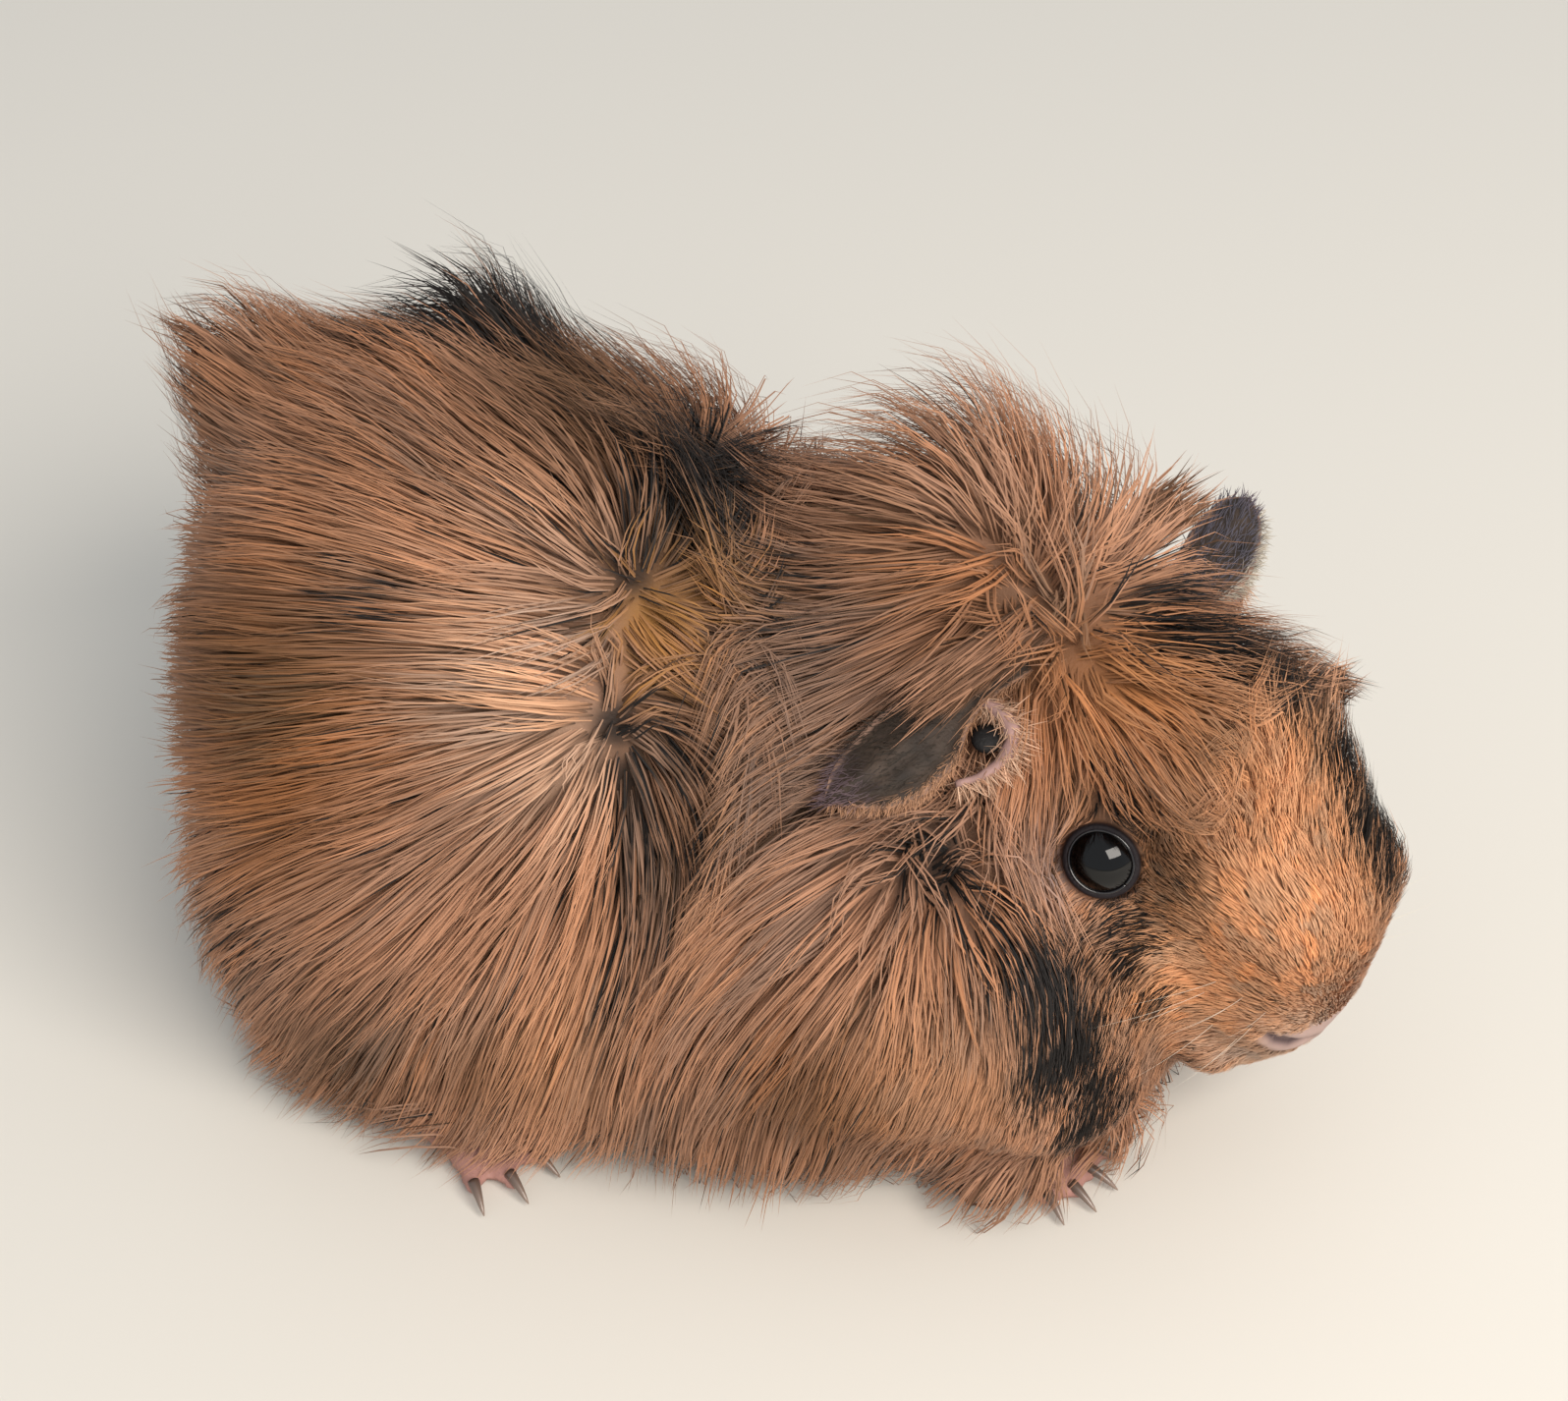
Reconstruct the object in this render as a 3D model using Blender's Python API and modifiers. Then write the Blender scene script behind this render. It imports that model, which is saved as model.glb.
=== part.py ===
"""A young rough-coated (Abyssinian) guinea pig, crouching on the floor, at life size.

The animal faces +X with its head turned to its right (-Y) and dipped. The outer surface of
these solids is the outline of the coat, out to the tips of its hair, so the crests where the
whorls of hair meet are modelled as forms of their own. The whole body is one smooth form,
fused from named volumes, and thin cuts then part it where a person would name its parts.
Run it with: blender --background --python part.py
"""

import math

import bmesh
import bpy
from mathutils import Euler, Matrix, Vector

MM = 0.001

# --- Driving dimensions ------------------------------------------------------------------
HEAD_YAW = math.radians(-20)  # turned toward its right
HEAD_PITCH = math.radians(28)  # dipped toward the floor
HEAD_PLACE = (0.0552, -0.0062, 0.052)  # the head's own point, between the brows
GAP = 0.3 * MM  # between neighbouring pieces
BELLY_HEIGHT = 1.2 * MM  # the underside of the coat, just clear of the floor

EYE_RADIUS = 5.2
EYE_PLACE = (-1.8, 15.5, -3.5)  # from the head's own point
EYE_DETAIL = (14, 9)
ROOM_DETAIL = (10, 7)
EAR_THICKNESS = 1.3

VOXEL = 1.9 * MM
FUSE_SMOOTHING = 12
BODY_TRIANGLES = 2300
FOOT_TRIANGLES = 190
REGION_DETAIL = (14, 9)

# Colour and roughness by the start of a piece's name.
FINISH = {
    "eye": ("#0b0a0c", 0.08),
    "ear": ("#40383f", 0.60),
    "muzzle": ("#c98650", 0.85),
    "hind_foot": ("#a97e6c", 0.70),
    "forefoot": ("#a97e6c", 0.70),
    "coat": ("#a8754c", 0.90),
}

# The coat's outer volumes, in millimetres: centre, radii, turn in degrees and squareness.
BODY = {
    "rump": ((-46, -4, 46), (33.5, 44, 45), (0, 0, 0), 2.2),
    "rump_crest": ((-64, -1, 72), (15, 18, 22), (0, -28, 0), 2.0),
    "saddle_crest": ((-43, 12, 75), (13, 16, 19), (0, 0, 0), 2.0),
    "barrel": ((-20, -4, 46), (30, 43, 42), (0, 0, 0), 2.2),
    "skirt": ((-14, -5, 18), (60, 46, 20), (0, 0, 0), 4.0),
    "haunch_right": ((-38, -34, 28), (33, 20, 34), (0, 0, 0), 2.4),
    "haunch_left": ((-38, 25, 28), (33, 20, 34), (0, 0, 0), 2.4),
    "shoulders": ((12, -4, 34), (26, 38, 38), (0, 0, 0), 2.2),
    "withers": ((3, -2, 51), (18, 33, 27), (0, 0, 0), 2.2),
    "elbow_right": ((12, -31, 24), (21, 18, 28), (0, 0, 0), 2.4),
    "elbow_left": ((12, 22, 24), (21, 18, 28), (0, 0, 0), 2.4),
    "mane": ((22, 5, 66), (21, 23, 26), (0, 0, 0), 2.0),
    "crown": ((36, 6, 68), (15, 17, 17), (0, 0, 0), 2.0),
    "ruff": ((27, -6, 34), (24, 36, 31), (0, 0, -10), 2.2),
    "chest": ((36, -9, 22), (24, 34, 28), (0, 0, -14), 2.8),
}

# The head's volumes, from the head's own point: x to the nose, y to its left.
HEAD = {
    "cranium": ((-12, 0, 0), (27, 22, 20), (0, 0, 0), 2.0),
    "cheeks": ((-8, 0, -13), (24, 25, 17), (0, 0, 0), 2.0),
    "bridge": ((12, 0, -4), (19, 15, 13), (0, 0, 0), 2.0),
    "muzzle": ((20, 0, -14), (13.5, 14, 12), (0, 0, 0), 2.2),
    "chin": ((6, 0, -24), (16, 14, 11), (0, 0, 0), 2.0),
    "brow_right": ((1, -10, 10), (8, 6, 6.5), (0, 0, 0), 2.0),
    "brow_left": ((1, 10, 11), (7, 6, 7), (0, 0, 0), 2.0),
    "bridge_tuft": ((11, 8.5, 5), (7, 7, 7), (0, 0, 0), 2.0),
    "whisker_tuft": ((21, 11, -2), (7, 7, 8), (0, 0, 0), 2.0),
}

# Sizes of a foot in millimetres, with the angles that its toes spread to.
HIND_FOOT = {"sole": 24, "width": 6.0, "height": 7.0, "toe": 10, "toes": (-24, 0, 24)}
FORE_FOOT = {"sole": 12, "width": 5.0, "height": 6.0, "toe": 7.5, "toes": (-36, -12, 12, 36)}
# Each foot's kind, the place of its ball and the direction that it points.
FEET = {
    "hind_foot_right": (HIND_FOOT, (-29, -43.5), -36),
    "hind_foot_left": (HIND_FOOT, (-29, 34.5), 33),
    "forefoot_right": (FORE_FOOT, (40, -24.5), -20),
    "forefoot_left": (FORE_FOOT, (41, 11), 4),
}

# The legs' regions of the coat, cut out of the trunk: centre, radii, squareness.
LEG_REGIONS = {
    "haunch_right": ((-40, -56, 24), (28, 30, 31), 2.6),
    "haunch_left": ((-40, 47, 24), (28, 30, 31), 2.6),
    "foreleg_right": ((18, -54, 19), (16, 28, 23), 2.6),
    "foreleg_left": ((18, 45, 19), (16, 28, 23), 2.6),
}


# --- Small helpers -----------------------------------------------------------------------
def clear_scene():
    for obj in list(bpy.data.objects):
        bpy.data.objects.remove(obj, do_unlink=True)


def new_collection(name):
    made = bpy.data.collections.new(name)
    bpy.context.scene.collection.children.link(made)
    return made


def link(obj, collection):
    collection.objects.link(obj)
    return obj


def millimetres(values):
    return [value * MM for value in values]


def object_from(shape, name, collection):
    mesh = bpy.data.meshes.new(name)
    shape.to_mesh(mesh)
    shape.free()
    return link(bpy.data.objects.new(name, mesh), collection)


def copy_of(obj, name, collection):
    return link(bpy.data.objects.new(name, obj.data.copy()), collection)


def apply_modifiers(obj):
    graph = bpy.context.evaluated_depsgraph_get()
    solid = bpy.data.meshes.new_from_object(obj.evaluated_get(graph), depsgraph=graph)
    obj.modifiers.clear()
    obj.data = solid
    return obj


def boolean(obj, other, operation):
    modifier = obj.modifiers.new(operation.lower(), "BOOLEAN")
    modifier.operation = operation
    modifier.solver = "EXACT"
    modifier.object = other
    return apply_modifiers(obj)


def swollen(obj, distance, name, collection):
    """A copy of a piece, larger by this distance all round."""
    room = copy_of(obj, name, collection)
    swell = room.modifiers.new("swell", "DISPLACE")
    swell.strength = distance
    swell.mid_level = 0.0
    return apply_modifiers(room)


def tidy(obj, merge=0.02 * MM):
    """Merges points that lie together and keeps the largest piece of what is left."""
    shape = bmesh.new()
    shape.from_mesh(obj.data)
    bmesh.ops.remove_doubles(shape, verts=shape.verts, dist=merge)
    bmesh.ops.dissolve_degenerate(shape, edges=shape.edges, dist=merge)
    bmesh.ops.triangulate(shape, faces=shape.faces)
    unseen = set(shape.verts)
    pieces = []
    while unseen:
        front = [unseen.pop()]
        piece = set(front)
        while front:
            for edge in front.pop().link_edges:
                for vert in edge.verts:
                    if vert in unseen:
                        unseen.remove(vert)
                        piece.add(vert)
                        front.append(vert)
        pieces.append(piece)
    keep = max(pieces, key=len)
    spare = [vert for piece in pieces if piece is not keep for vert in piece]
    bmesh.ops.delete(shape, geom=spare, context="VERTS")
    bmesh.ops.recalc_face_normals(shape, faces=shape.faces)
    shape.to_mesh(obj.data)
    shape.free()
    return obj


def kept_side(obj, point, normal, helpers):
    """Cuts a solid with a plane and keeps the side that the normal points to."""
    size = 0.5
    shape = bmesh.new()
    bmesh.ops.create_cube(shape, size=size)
    turn = Vector(normal).to_track_quat("Z", "Y").to_matrix().to_4x4()
    place = Matrix.Translation(point) @ turn @ Matrix.Translation((0, 0, -size / 2))
    bmesh.ops.transform(shape, matrix=place, verts=shape.verts)
    return boolean(obj, object_from(shape, "far_side", helpers), "DIFFERENCE")


# --- Volumes -----------------------------------------------------------------------------
def egg(name, collection, form, frame=Matrix.Identity(4), swell=0.0, detail=(32, 20)):
    """A rounded volume, given in millimetres: an ellipsoid at squareness 2, boxier above it."""
    centre, radii, turn, squareness = form
    shape = bmesh.new()
    bmesh.ops.create_uvsphere(shape, u_segments=detail[0], v_segments=detail[1], radius=1.0)
    for vert in shape.verts:
        vert.co /= sum(abs(value) ** squareness for value in vert.co) ** (1 / squareness)
    rotation = Euler([math.radians(angle) for angle in turn]).to_matrix().to_4x4()
    radii = [(radius + swell) * MM for radius in radii]
    place = frame @ Matrix.Translation(millimetres(centre)) @ rotation @ Matrix.Diagonal((*radii, 1))
    bmesh.ops.transform(shape, matrix=place, verts=shape.verts)
    return object_from(shape, name, collection)


def head_frame():
    """From the head's own axes (x to the nose, y to its left) to the floor's."""
    turn = Matrix.Rotation(HEAD_YAW, 4, "Z") @ Matrix.Rotation(HEAD_PITCH, 4, "Y")
    return Matrix.Translation(HEAD_PLACE) @ turn


def fused(volumes, name, collection, voxel, smoothing, triangles, floor=None):
    """One smooth closed form from volumes that overlap, flattened where it meets a floor."""
    shape = bmesh.new()
    for volume in volumes:
        shape.from_mesh(volume.data)
    whole = object_from(shape, name, collection)
    remesh = whole.modifiers.new("fuse", "REMESH")
    remesh.mode = "VOXEL"
    remesh.voxel_size = voxel
    soften = whole.modifiers.new("soften", "SMOOTH")
    soften.factor = 0.5
    soften.iterations = smoothing
    apply_modifiers(whole)
    if floor is not None:
        for vert in whole.data.vertices:
            vert.co.z = max(vert.co.z, floor)
    count = sum(len(face.vertices) - 2 for face in whole.data.polygons)
    decimate = whole.modifiers.new("thin_out", "DECIMATE")
    decimate.ratio = min(1.0, triangles / count)
    apply_modifiers(whole)
    if floor is not None:
        for vert in whole.data.vertices:
            vert.co.z = max(vert.co.z, floor)
    return whole


def coat_form(helpers):
    volumes = [egg(name + "_volume", helpers, form) for name, form in BODY.items()]
    volumes += [egg(name + "_volume", helpers, form, head_frame()) for name, form in HEAD.items()]
    return fused(volumes, "coat", helpers, VOXEL, FUSE_SMOOTHING, BODY_TRIANGLES, BELLY_HEIGHT)


def head_region(helpers):
    """The space that the head fills, a little larger than the head itself."""
    volumes = [egg(name + "_space", helpers, form, head_frame(), 3.5) for name, form in HEAD.items()]
    return fused(volumes, "head_region", helpers, 3 * MM, 6, 180)


# --- Feet, ears and eyes -----------------------------------------------------------------
def foot_volumes(kind):
    """A foot's volumes, from its ball: x forward, z up from the sole."""
    sole, width, height, toe = kind["sole"], kind["width"], kind["height"], kind["toe"]
    yield (-0.5 * sole, 0, 0.42 * height), (0.56 * sole, 0.72 * width, 0.55 * height), (0, 0, 0), 2.4
    yield (0, 0, 0.34 * height), (0.8 * width, width, 0.50 * height), (0, 0, 0), 2.3
    for angle in kind["toes"]:
        spread = math.radians(angle)
        reach = toe * (1.0 - 0.12 * abs(math.sin(spread)))
        ahead, aside = math.cos(spread), math.sin(spread)
        turn = (0, 6, angle * 0.7)
        middle = (0.55 * reach * ahead + 1, 0.62 * reach * aside + 0.3 * width * aside, 1.9)
        tip = (reach * ahead + 1.6, reach * aside * 0.92 + 0.3 * width * aside, 1.5)
        claw = (tip[0] + 2.6 * ahead, tip[1] + 2.6 * aside * 0.6, 1.5)
        yield middle, (0.42 * reach, 1.9, 2.2), turn, 2.2
        yield tip, (2.3, 1.7, 1.75), turn, 2.2
        yield claw, (2.6, 0.75, 0.85), (0, 14, angle * 0.6), 2.0


def foot_frame(ball, heading):
    place = Matrix.Translation((ball[0] * MM, ball[1] * MM, 0))
    return place @ Matrix.Rotation(math.radians(heading), 4, "Z")


def foot(name, collection, helpers):
    kind, ball, heading = FEET[name]
    frame = foot_frame(ball, heading)
    pieces = [egg(name + "_volume", helpers, form, frame, 0, (20, 12)) for form in foot_volumes(kind)]
    return fused(pieces, name, collection, 0.5 * MM, 2, FOOT_TRIANGLES, 0.0)


def foot_rooms(kind):
    """The hollows under the coat that a foot's sole and toes lie in."""
    sole_form, ball_form = list(foot_volumes(kind))[:2]
    yield sole_form
    reach = kind["toe"] + 7.0
    yield (0.5 * reach - 4, 0, 0.5), (0.5 * reach + 4, 8.2, 5.8), (0, 0, 0), 3.0


def petal(length, width, cup, droop):
    """An ear's blade: x out along it, y toward the nose, cupped and drooping at its tip."""
    shape = bmesh.new()
    rows, columns = 9, 6
    grid = []
    for row in range(rows):
        along = row / (rows - 1)
        half = 0.5 * width * math.sin(math.pi * (0.20 + 0.745 * along)) ** 0.75
        line = []
        for column in range(columns):
            across = 2 * column / (columns - 1) - 1
            rise = -cup * across**2 - droop * along**2
            sweep = -0.12 * length * across**2 * along
            line.append(shape.verts.new((length * along + sweep, half * across, rise)))
        grid.append(line)
    for near, far in zip(grid, grid[1:]):
        for column in range(columns - 1):
            shape.faces.new((near[column], near[column + 1], far[column + 1], far[column]))
    bmesh.ops.scale(shape, vec=(MM, MM, MM), verts=shape.verts)
    bmesh.ops.recalc_face_normals(shape, faces=shape.faces)
    return shape


def ear(name, collection, root, tip, width, cup, droop):
    """An ear from its root to its tip, both given on the head, in millimetres."""
    root, tip = Vector(root), Vector(tip)
    out = (tip - root).normalized()
    up = Vector((0, 0, 1))
    across = up.cross(out).normalized()
    if across.x < 0:
        across.negate()
    normal = out.cross(across)
    if normal.z < 0:
        normal.negate()
    axes = Matrix((out, across, normal)).transposed().to_4x4()
    shape = petal((tip - root).length, width, cup, droop)
    place = head_frame() @ Matrix.Translation(root * MM) @ axes
    bmesh.ops.transform(shape, matrix=place, verts=shape.verts)
    blade = object_from(shape, name, collection)
    thicken = blade.modifiers.new("thickness", "SOLIDIFY")
    thicken.thickness = EAR_THICKNESS * MM
    thicken.offset = 0.0
    thicken.use_even_offset = True
    return tidy(apply_modifiers(blade))


# Each ear's root and tip on the head, its width, cup and droop, in millimetres.
EARS = {
    "ear_right": ((-22, -15, 5), (-27.5, -40.5, -3), 13.0, 2.4, 1.6),
    "ear_left": ((-18.3, 15.3, 5), (-22.5, 39, 0.9), 10.5, 1.6, 1.2),
}


def eye(name, collection, side, swell=0.0, detail=EYE_DETAIL):
    centre = (EYE_PLACE[0], side * EYE_PLACE[1], EYE_PLACE[2])
    radius = EYE_RADIUS
    return egg(name, collection, (centre, (radius, radius, radius), (0, 0, 0), 2.0), head_frame(), swell, detail)


# --- Parting the body --------------------------------------------------------------------
def head_point(*place):
    return head_frame() @ Vector(millimetres(place))


def head_direction(*direction):
    return head_frame().to_3x3() @ Vector(direction)


def cutting_planes():
    """Each plane: a point on it, in metres, and the direction that it faces."""
    return {
        "nape": (head_point(-28, 0, 0), head_direction(1, 0, 0)),
        "muzzle": (head_point(14, 0, 0), head_direction(1, 0, 0.15)),
        "throat": (Vector((0.045, 0, 0.036)), Vector((0.25, 0, 1)).normalized()),
        "collar": (Vector((0.018, 0, 0.05)), Vector((1, -0.12, -0.10)).normalized()),
        "girth": (Vector((-0.007, 0, 0.05)), Vector((1, 0, 0.06)).normalized()),
        "loin": (Vector((-0.047, 0, 0.05)), Vector((1, 0, 0)).normalized()),
    }


# Each piece of the head and trunk: the planes it lies in front of (+1) or behind (-1).
HEAD_PIECES = {
    "muzzle": {"muzzle": 1},
    "head": {"muzzle": -1, "nape": 1},
}
TRUNK_PIECES = {
    "neck": {"collar": 1, "throat": 1},
    "chest": {"collar": 1, "throat": -1},
    "shoulders": {"collar": -1, "girth": 1},
    "barrel": {"girth": -1, "loin": 1},
    "rump": {"loin": -1},
}


def part_with_planes(solid, pieces, collection, helpers):
    planes = cutting_planes()
    for name, sides in pieces.items():
        piece = copy_of(solid, name, collection)
        for plane, side in sides.items():
            point, normal = planes[plane]
            kept_side(piece, point + normal * side * GAP / 2, normal * side, helpers)
        tidy(piece)


def make_ears(coat, parts, helpers):
    beyond = swollen(coat, 1.5 * GAP, "beyond_coat", helpers)
    for name, (root, tip, width, cup, droop) in EARS.items():
        tidy(boolean(ear(name, parts, root, tip, width, cup, droop), beyond, "DIFFERENCE"))


def make_eyes(coat, parts, helpers):
    for name, side in (("eye_right", -1), ("eye_left", 1)):
        bowl = ((1, side * 21.6, 0.3), (6.6, 5.4, 6.2), (0, 0, 0), 2.0)
        boolean(coat, egg(name + "_bowl", helpers, bowl, head_frame(), 0, ROOM_DETAIL), "DIFFERENCE")
        boolean(coat, eye(name + "_room", helpers, side, 0.55, ROOM_DETAIL), "DIFFERENCE")
        eye(name, parts, side)


def make_feet(coat, parts, helpers):
    for name in FEET:
        foot(name, parts, helpers)
        kind, ball, heading = FEET[name]
        for form in foot_rooms(kind):
            room = egg(name + "_room", helpers, form, foot_frame(ball, heading), 0.9, ROOM_DETAIL)
            boolean(coat, room, "DIFFERENCE")


def cut_region(coat, name, region, room, parts):
    """Takes a region out of the coat as its own piece, with a thin gap round it."""
    piece = boolean(copy_of(coat, name, parts), region, "INTERSECT")
    boolean(coat, room, "DIFFERENCE")
    return tidy(piece)


def build(parts, helpers):
    coat = coat_form(helpers)
    make_ears(coat, parts, helpers)
    make_eyes(coat, parts, helpers)
    make_feet(coat, parts, helpers)
    tidy(coat)
    for name, (centre, radii, squareness) in LEG_REGIONS.items():
        form = (centre, radii, (0, 0, 0), squareness)
        region = egg(name + "_region", helpers, form, detail=REGION_DETAIL)
        room = egg(name + "_room", helpers, form, swell=0.4, detail=REGION_DETAIL)
        cut_region(coat, name, region, room, parts)
    region = head_region(helpers)
    behind, facing = cutting_planes()["nape"]
    kept_side(region, behind, facing, helpers)
    room = swollen(region, 1.3 * GAP, "head_room", helpers)
    head = cut_region(coat, "whole_head", region, room, helpers)
    part_with_planes(head, HEAD_PIECES, parts, helpers)
    part_with_planes(coat, TRUNK_PIECES, parts, helpers)


# --- Finish and placing ------------------------------------------------------------------
def linear(hex_colour):
    """A hex colour as linear red, green and blue."""
    for start in (1, 3, 5):
        value = int(hex_colour[start : start + 2], 16) / 255
        yield value / 12.92 if value <= 0.04045 else ((value + 0.055) / 1.055) ** 2.4


def colour_piece(obj):
    """Gives a piece its own material."""
    kind = next((word for word in FINISH if obj.name.startswith(word)), "coat")
    colour, roughness = FINISH[kind]
    made = bpy.data.materials.new(obj.name)
    made.use_nodes = True
    shader = made.node_tree.nodes["Principled BSDF"]
    shader.inputs["Base Color"].default_value = (*linear(colour), 1.0)
    shader.inputs["Roughness"].default_value = roughness
    shader.inputs["Metallic"].default_value = 0.0
    obj.data.materials.clear()
    obj.data.materials.append(made)


def limits(objects):
    """The low and high corners of the box round these objects' meshes."""
    corners = [vert.co for obj in objects for vert in obj.data.vertices]
    low = Vector(min(corner[axis] for corner in corners) for axis in range(3))
    high = Vector(max(corner[axis] for corner in corners) for axis in range(3))
    return low, high


def place_pieces(parts):
    """Stands the animal's middle over the origin, each piece placed by its own middle."""
    low, high = limits(parts.objects)
    shift = Vector((-(low.x + high.x) / 2, -(low.y + high.y) / 2, -low.z))
    animal = link(bpy.data.objects.new("guinea_pig", None), parts)
    for obj in [piece for piece in parts.objects if piece.type == "MESH"]:
        low, high = limits([obj])
        middle = (low + high) / 2
        obj.data.transform(Matrix.Translation(-middle))
        obj.location = middle + shift
        obj.parent = animal


def main():
    clear_scene()
    parts = new_collection("guinea_pig")
    helpers = new_collection("helpers")
    build(parts, helpers)
    for obj in parts.objects:
        colour_piece(obj)
        if obj.name.startswith("eye"):
            obj.data.shade_smooth()
    place_pieces(parts)
    for obj in helpers.objects:
        obj.hide_render = True
        obj.display_type = "WIRE"


main()
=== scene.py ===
"""The looks of a young rough-coated guinea pig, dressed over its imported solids.

One skin lies inside the solids by the depth of the coat, and tufts of hair grow from it out
to the solids' surface. Places are in millimetres until a mesh is made, which is in metres.
"""

import math

import bmesh
import bpy
import numpy as np
from mathutils import Matrix, Vector
from mathutils.bvhtree import BVHTree
from mathutils.kdtree import KDTree


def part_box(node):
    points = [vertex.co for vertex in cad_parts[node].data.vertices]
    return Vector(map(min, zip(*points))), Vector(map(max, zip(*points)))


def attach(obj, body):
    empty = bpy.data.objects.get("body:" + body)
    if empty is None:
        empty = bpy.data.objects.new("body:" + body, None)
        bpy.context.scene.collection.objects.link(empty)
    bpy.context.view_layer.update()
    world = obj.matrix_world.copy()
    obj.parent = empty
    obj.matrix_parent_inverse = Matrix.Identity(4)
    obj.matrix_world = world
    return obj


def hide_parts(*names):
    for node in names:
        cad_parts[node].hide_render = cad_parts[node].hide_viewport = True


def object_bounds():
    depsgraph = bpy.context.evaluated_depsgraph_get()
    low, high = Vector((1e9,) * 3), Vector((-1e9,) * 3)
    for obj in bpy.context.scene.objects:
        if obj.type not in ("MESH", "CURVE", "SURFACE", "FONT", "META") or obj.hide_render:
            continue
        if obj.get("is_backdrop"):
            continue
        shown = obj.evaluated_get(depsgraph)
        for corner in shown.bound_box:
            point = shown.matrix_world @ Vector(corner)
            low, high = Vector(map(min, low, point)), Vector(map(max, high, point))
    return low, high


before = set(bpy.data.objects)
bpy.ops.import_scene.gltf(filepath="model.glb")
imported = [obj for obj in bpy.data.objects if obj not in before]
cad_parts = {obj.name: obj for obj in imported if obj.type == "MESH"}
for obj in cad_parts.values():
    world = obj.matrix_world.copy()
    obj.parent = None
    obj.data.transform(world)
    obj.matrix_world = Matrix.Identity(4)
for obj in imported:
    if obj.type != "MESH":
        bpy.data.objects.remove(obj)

MM = 0.001
CAD_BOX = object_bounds()

# --- The animal's places and sizes -------------------------------------------------------
TRUNK = ("neck", "chest", "shoulders", "barrel", "rump", "haunch_right", "haunch_left")
LEGS = ("foreleg_right", "foreleg_left")
HEAD = ("head", "muzzle")
FEET = ("hind_foot_right", "hind_foot_left", "forefoot_right", "forefoot_left")
EARS = ("ear_right", "ear_left")
EYES = {"eye_right": -1, "eye_left": 1}
MIDLINE = 0.3  # y of the trunk's middle
HEAD_DIP = math.radians(28)
EYE_RADIUS = 5.2
LID_RADIUS = 5.3  # of the lids' wet margins, from the eye's centre
LID_THICKNESS = 0.18
LID_LIFT = 0.45  # how far the lids stand out from the eye
SOCKET = 4.3  # how far inside the eye the skin goes, from its centre
EYE_GAZE = (0.15, 0.80, 0.58)  # forward, outward and up
EYE_OPENING = math.radians(47)

# How deep the coat is, from its tips to the skin.
BODY_COAT = 9.0
FACE_COAT = 2.4
NOSE_COAT = 1.0  # less than on the rest of the face
SOLIDS_SWELL = 0.4  # closes the cuts between the solids
COAT_SQUARE = 1.7  # sides of the squares that the coat's surface and the skin are made of
SKIN_SQUARE = 1.1

COAT_LAYER = "coat_colour"  # the painted colours that the materials read
WAVES = 7  # sine waves in a ripple


# --- Small helpers -----------------------------------------------------------------------
def linear(hex_colour):
    """A hex colour as linear red, green and blue."""
    values = [int(hex_colour[start : start + 2], 16) / 255 for start in (1, 3, 5)]
    return np.array([v / 12.92 if v <= 0.04045 else ((v + 0.055) / 1.055) ** 2.4 for v in values])


def step(low, high, value):
    """A smooth rise from 0 at low to 1 at high."""
    part = np.clip((value - low) / (high - low), 0.0, 1.0)
    return part * part * (3 - 2 * part)


def unit(vectors):
    return vectors / np.maximum(np.linalg.norm(vectors, axis=-1, keepdims=True), 1e-9)


def dots(first, second):
    """Each row's dot product, as a column."""
    return (first * second).sum(-1, keepdims=True)


def fading(points, place, reach, power=2):
    """1 at a place, falling smoothly to 0 beyond its reach."""
    far = np.linalg.norm(points - np.array(place, float), axis=1)
    return np.exp(-((far / reach) ** power))


def strongest(points, patches, power=2):
    """The most that any of these patches (place, reach, amount) gives to each point."""
    share = np.zeros(len(points))
    for place, reach, amount in patches:
        share = np.maximum(share, amount * fading(points, place, reach, power))
    return share


def mixed(first, second, share):
    """The first where the share is 0, and the second where it is 1."""
    share = share.reshape(-1, 1)
    return first * (1 - share) + second * share


def link(obj):
    bpy.context.scene.collection.objects.link(obj)
    return obj


def ripple(points, size, seed):
    """Smooth noise of this size, about 1 high: a few sine waves that cross."""
    random = np.random.default_rng(seed)
    total = np.zeros(len(points))
    for _ in range(WAVES):
        way = unit(random.normal(size=3)) * random.uniform(0.6, 1.5) * 2 * math.pi / size
        total += np.sin(points @ way + random.uniform(0, 2 * math.pi))
    return total / math.sqrt(WAVES / 2)


def mesh_from(name, points, faces, colours=None):
    """A mesh from places in millimetres and faces of any length."""
    made = bpy.data.meshes.new(name)
    made.from_pydata((np.asarray(points) * MM).tolist(), [], [list(face) for face in faces])
    made.shade_smooth()
    if colours is not None:
        paint(made, colours)
    return made


def paint(mesh, colours):
    """Gives each point of a mesh its colour."""
    layer = mesh.color_attributes.new(COAT_LAYER, "FLOAT_COLOR", "POINT")
    full = np.ones((len(mesh.vertices), 4), np.float32)
    full[:, :3] = colours
    layer.data.foreach_set("color", full.ravel())


def points_of(mesh):
    """A mesh's points in millimetres."""
    points = np.empty(len(mesh.vertices) * 3, np.float32)
    mesh.vertices.foreach_get("co", points)
    return points.reshape(-1, 3).astype(float) / MM


def set_points(mesh, points):
    """Moves a mesh's points to these places in millimetres."""
    mesh.vertices.foreach_set("co", (np.asarray(points) * MM).astype(np.float32).ravel())
    mesh.update()


def triangles_of(mesh):
    mesh.calc_loop_triangles()
    faces = np.empty(len(mesh.loop_triangles) * 3, np.int32)
    mesh.loop_triangles.foreach_get("vertices", faces)
    return faces.reshape(-1, 3)


def edges_of(mesh):
    edges = np.empty(len(mesh.edges) * 2, np.int32)
    mesh.edges.foreach_get("vertices", edges)
    return edges.reshape(-1, 2)


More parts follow.
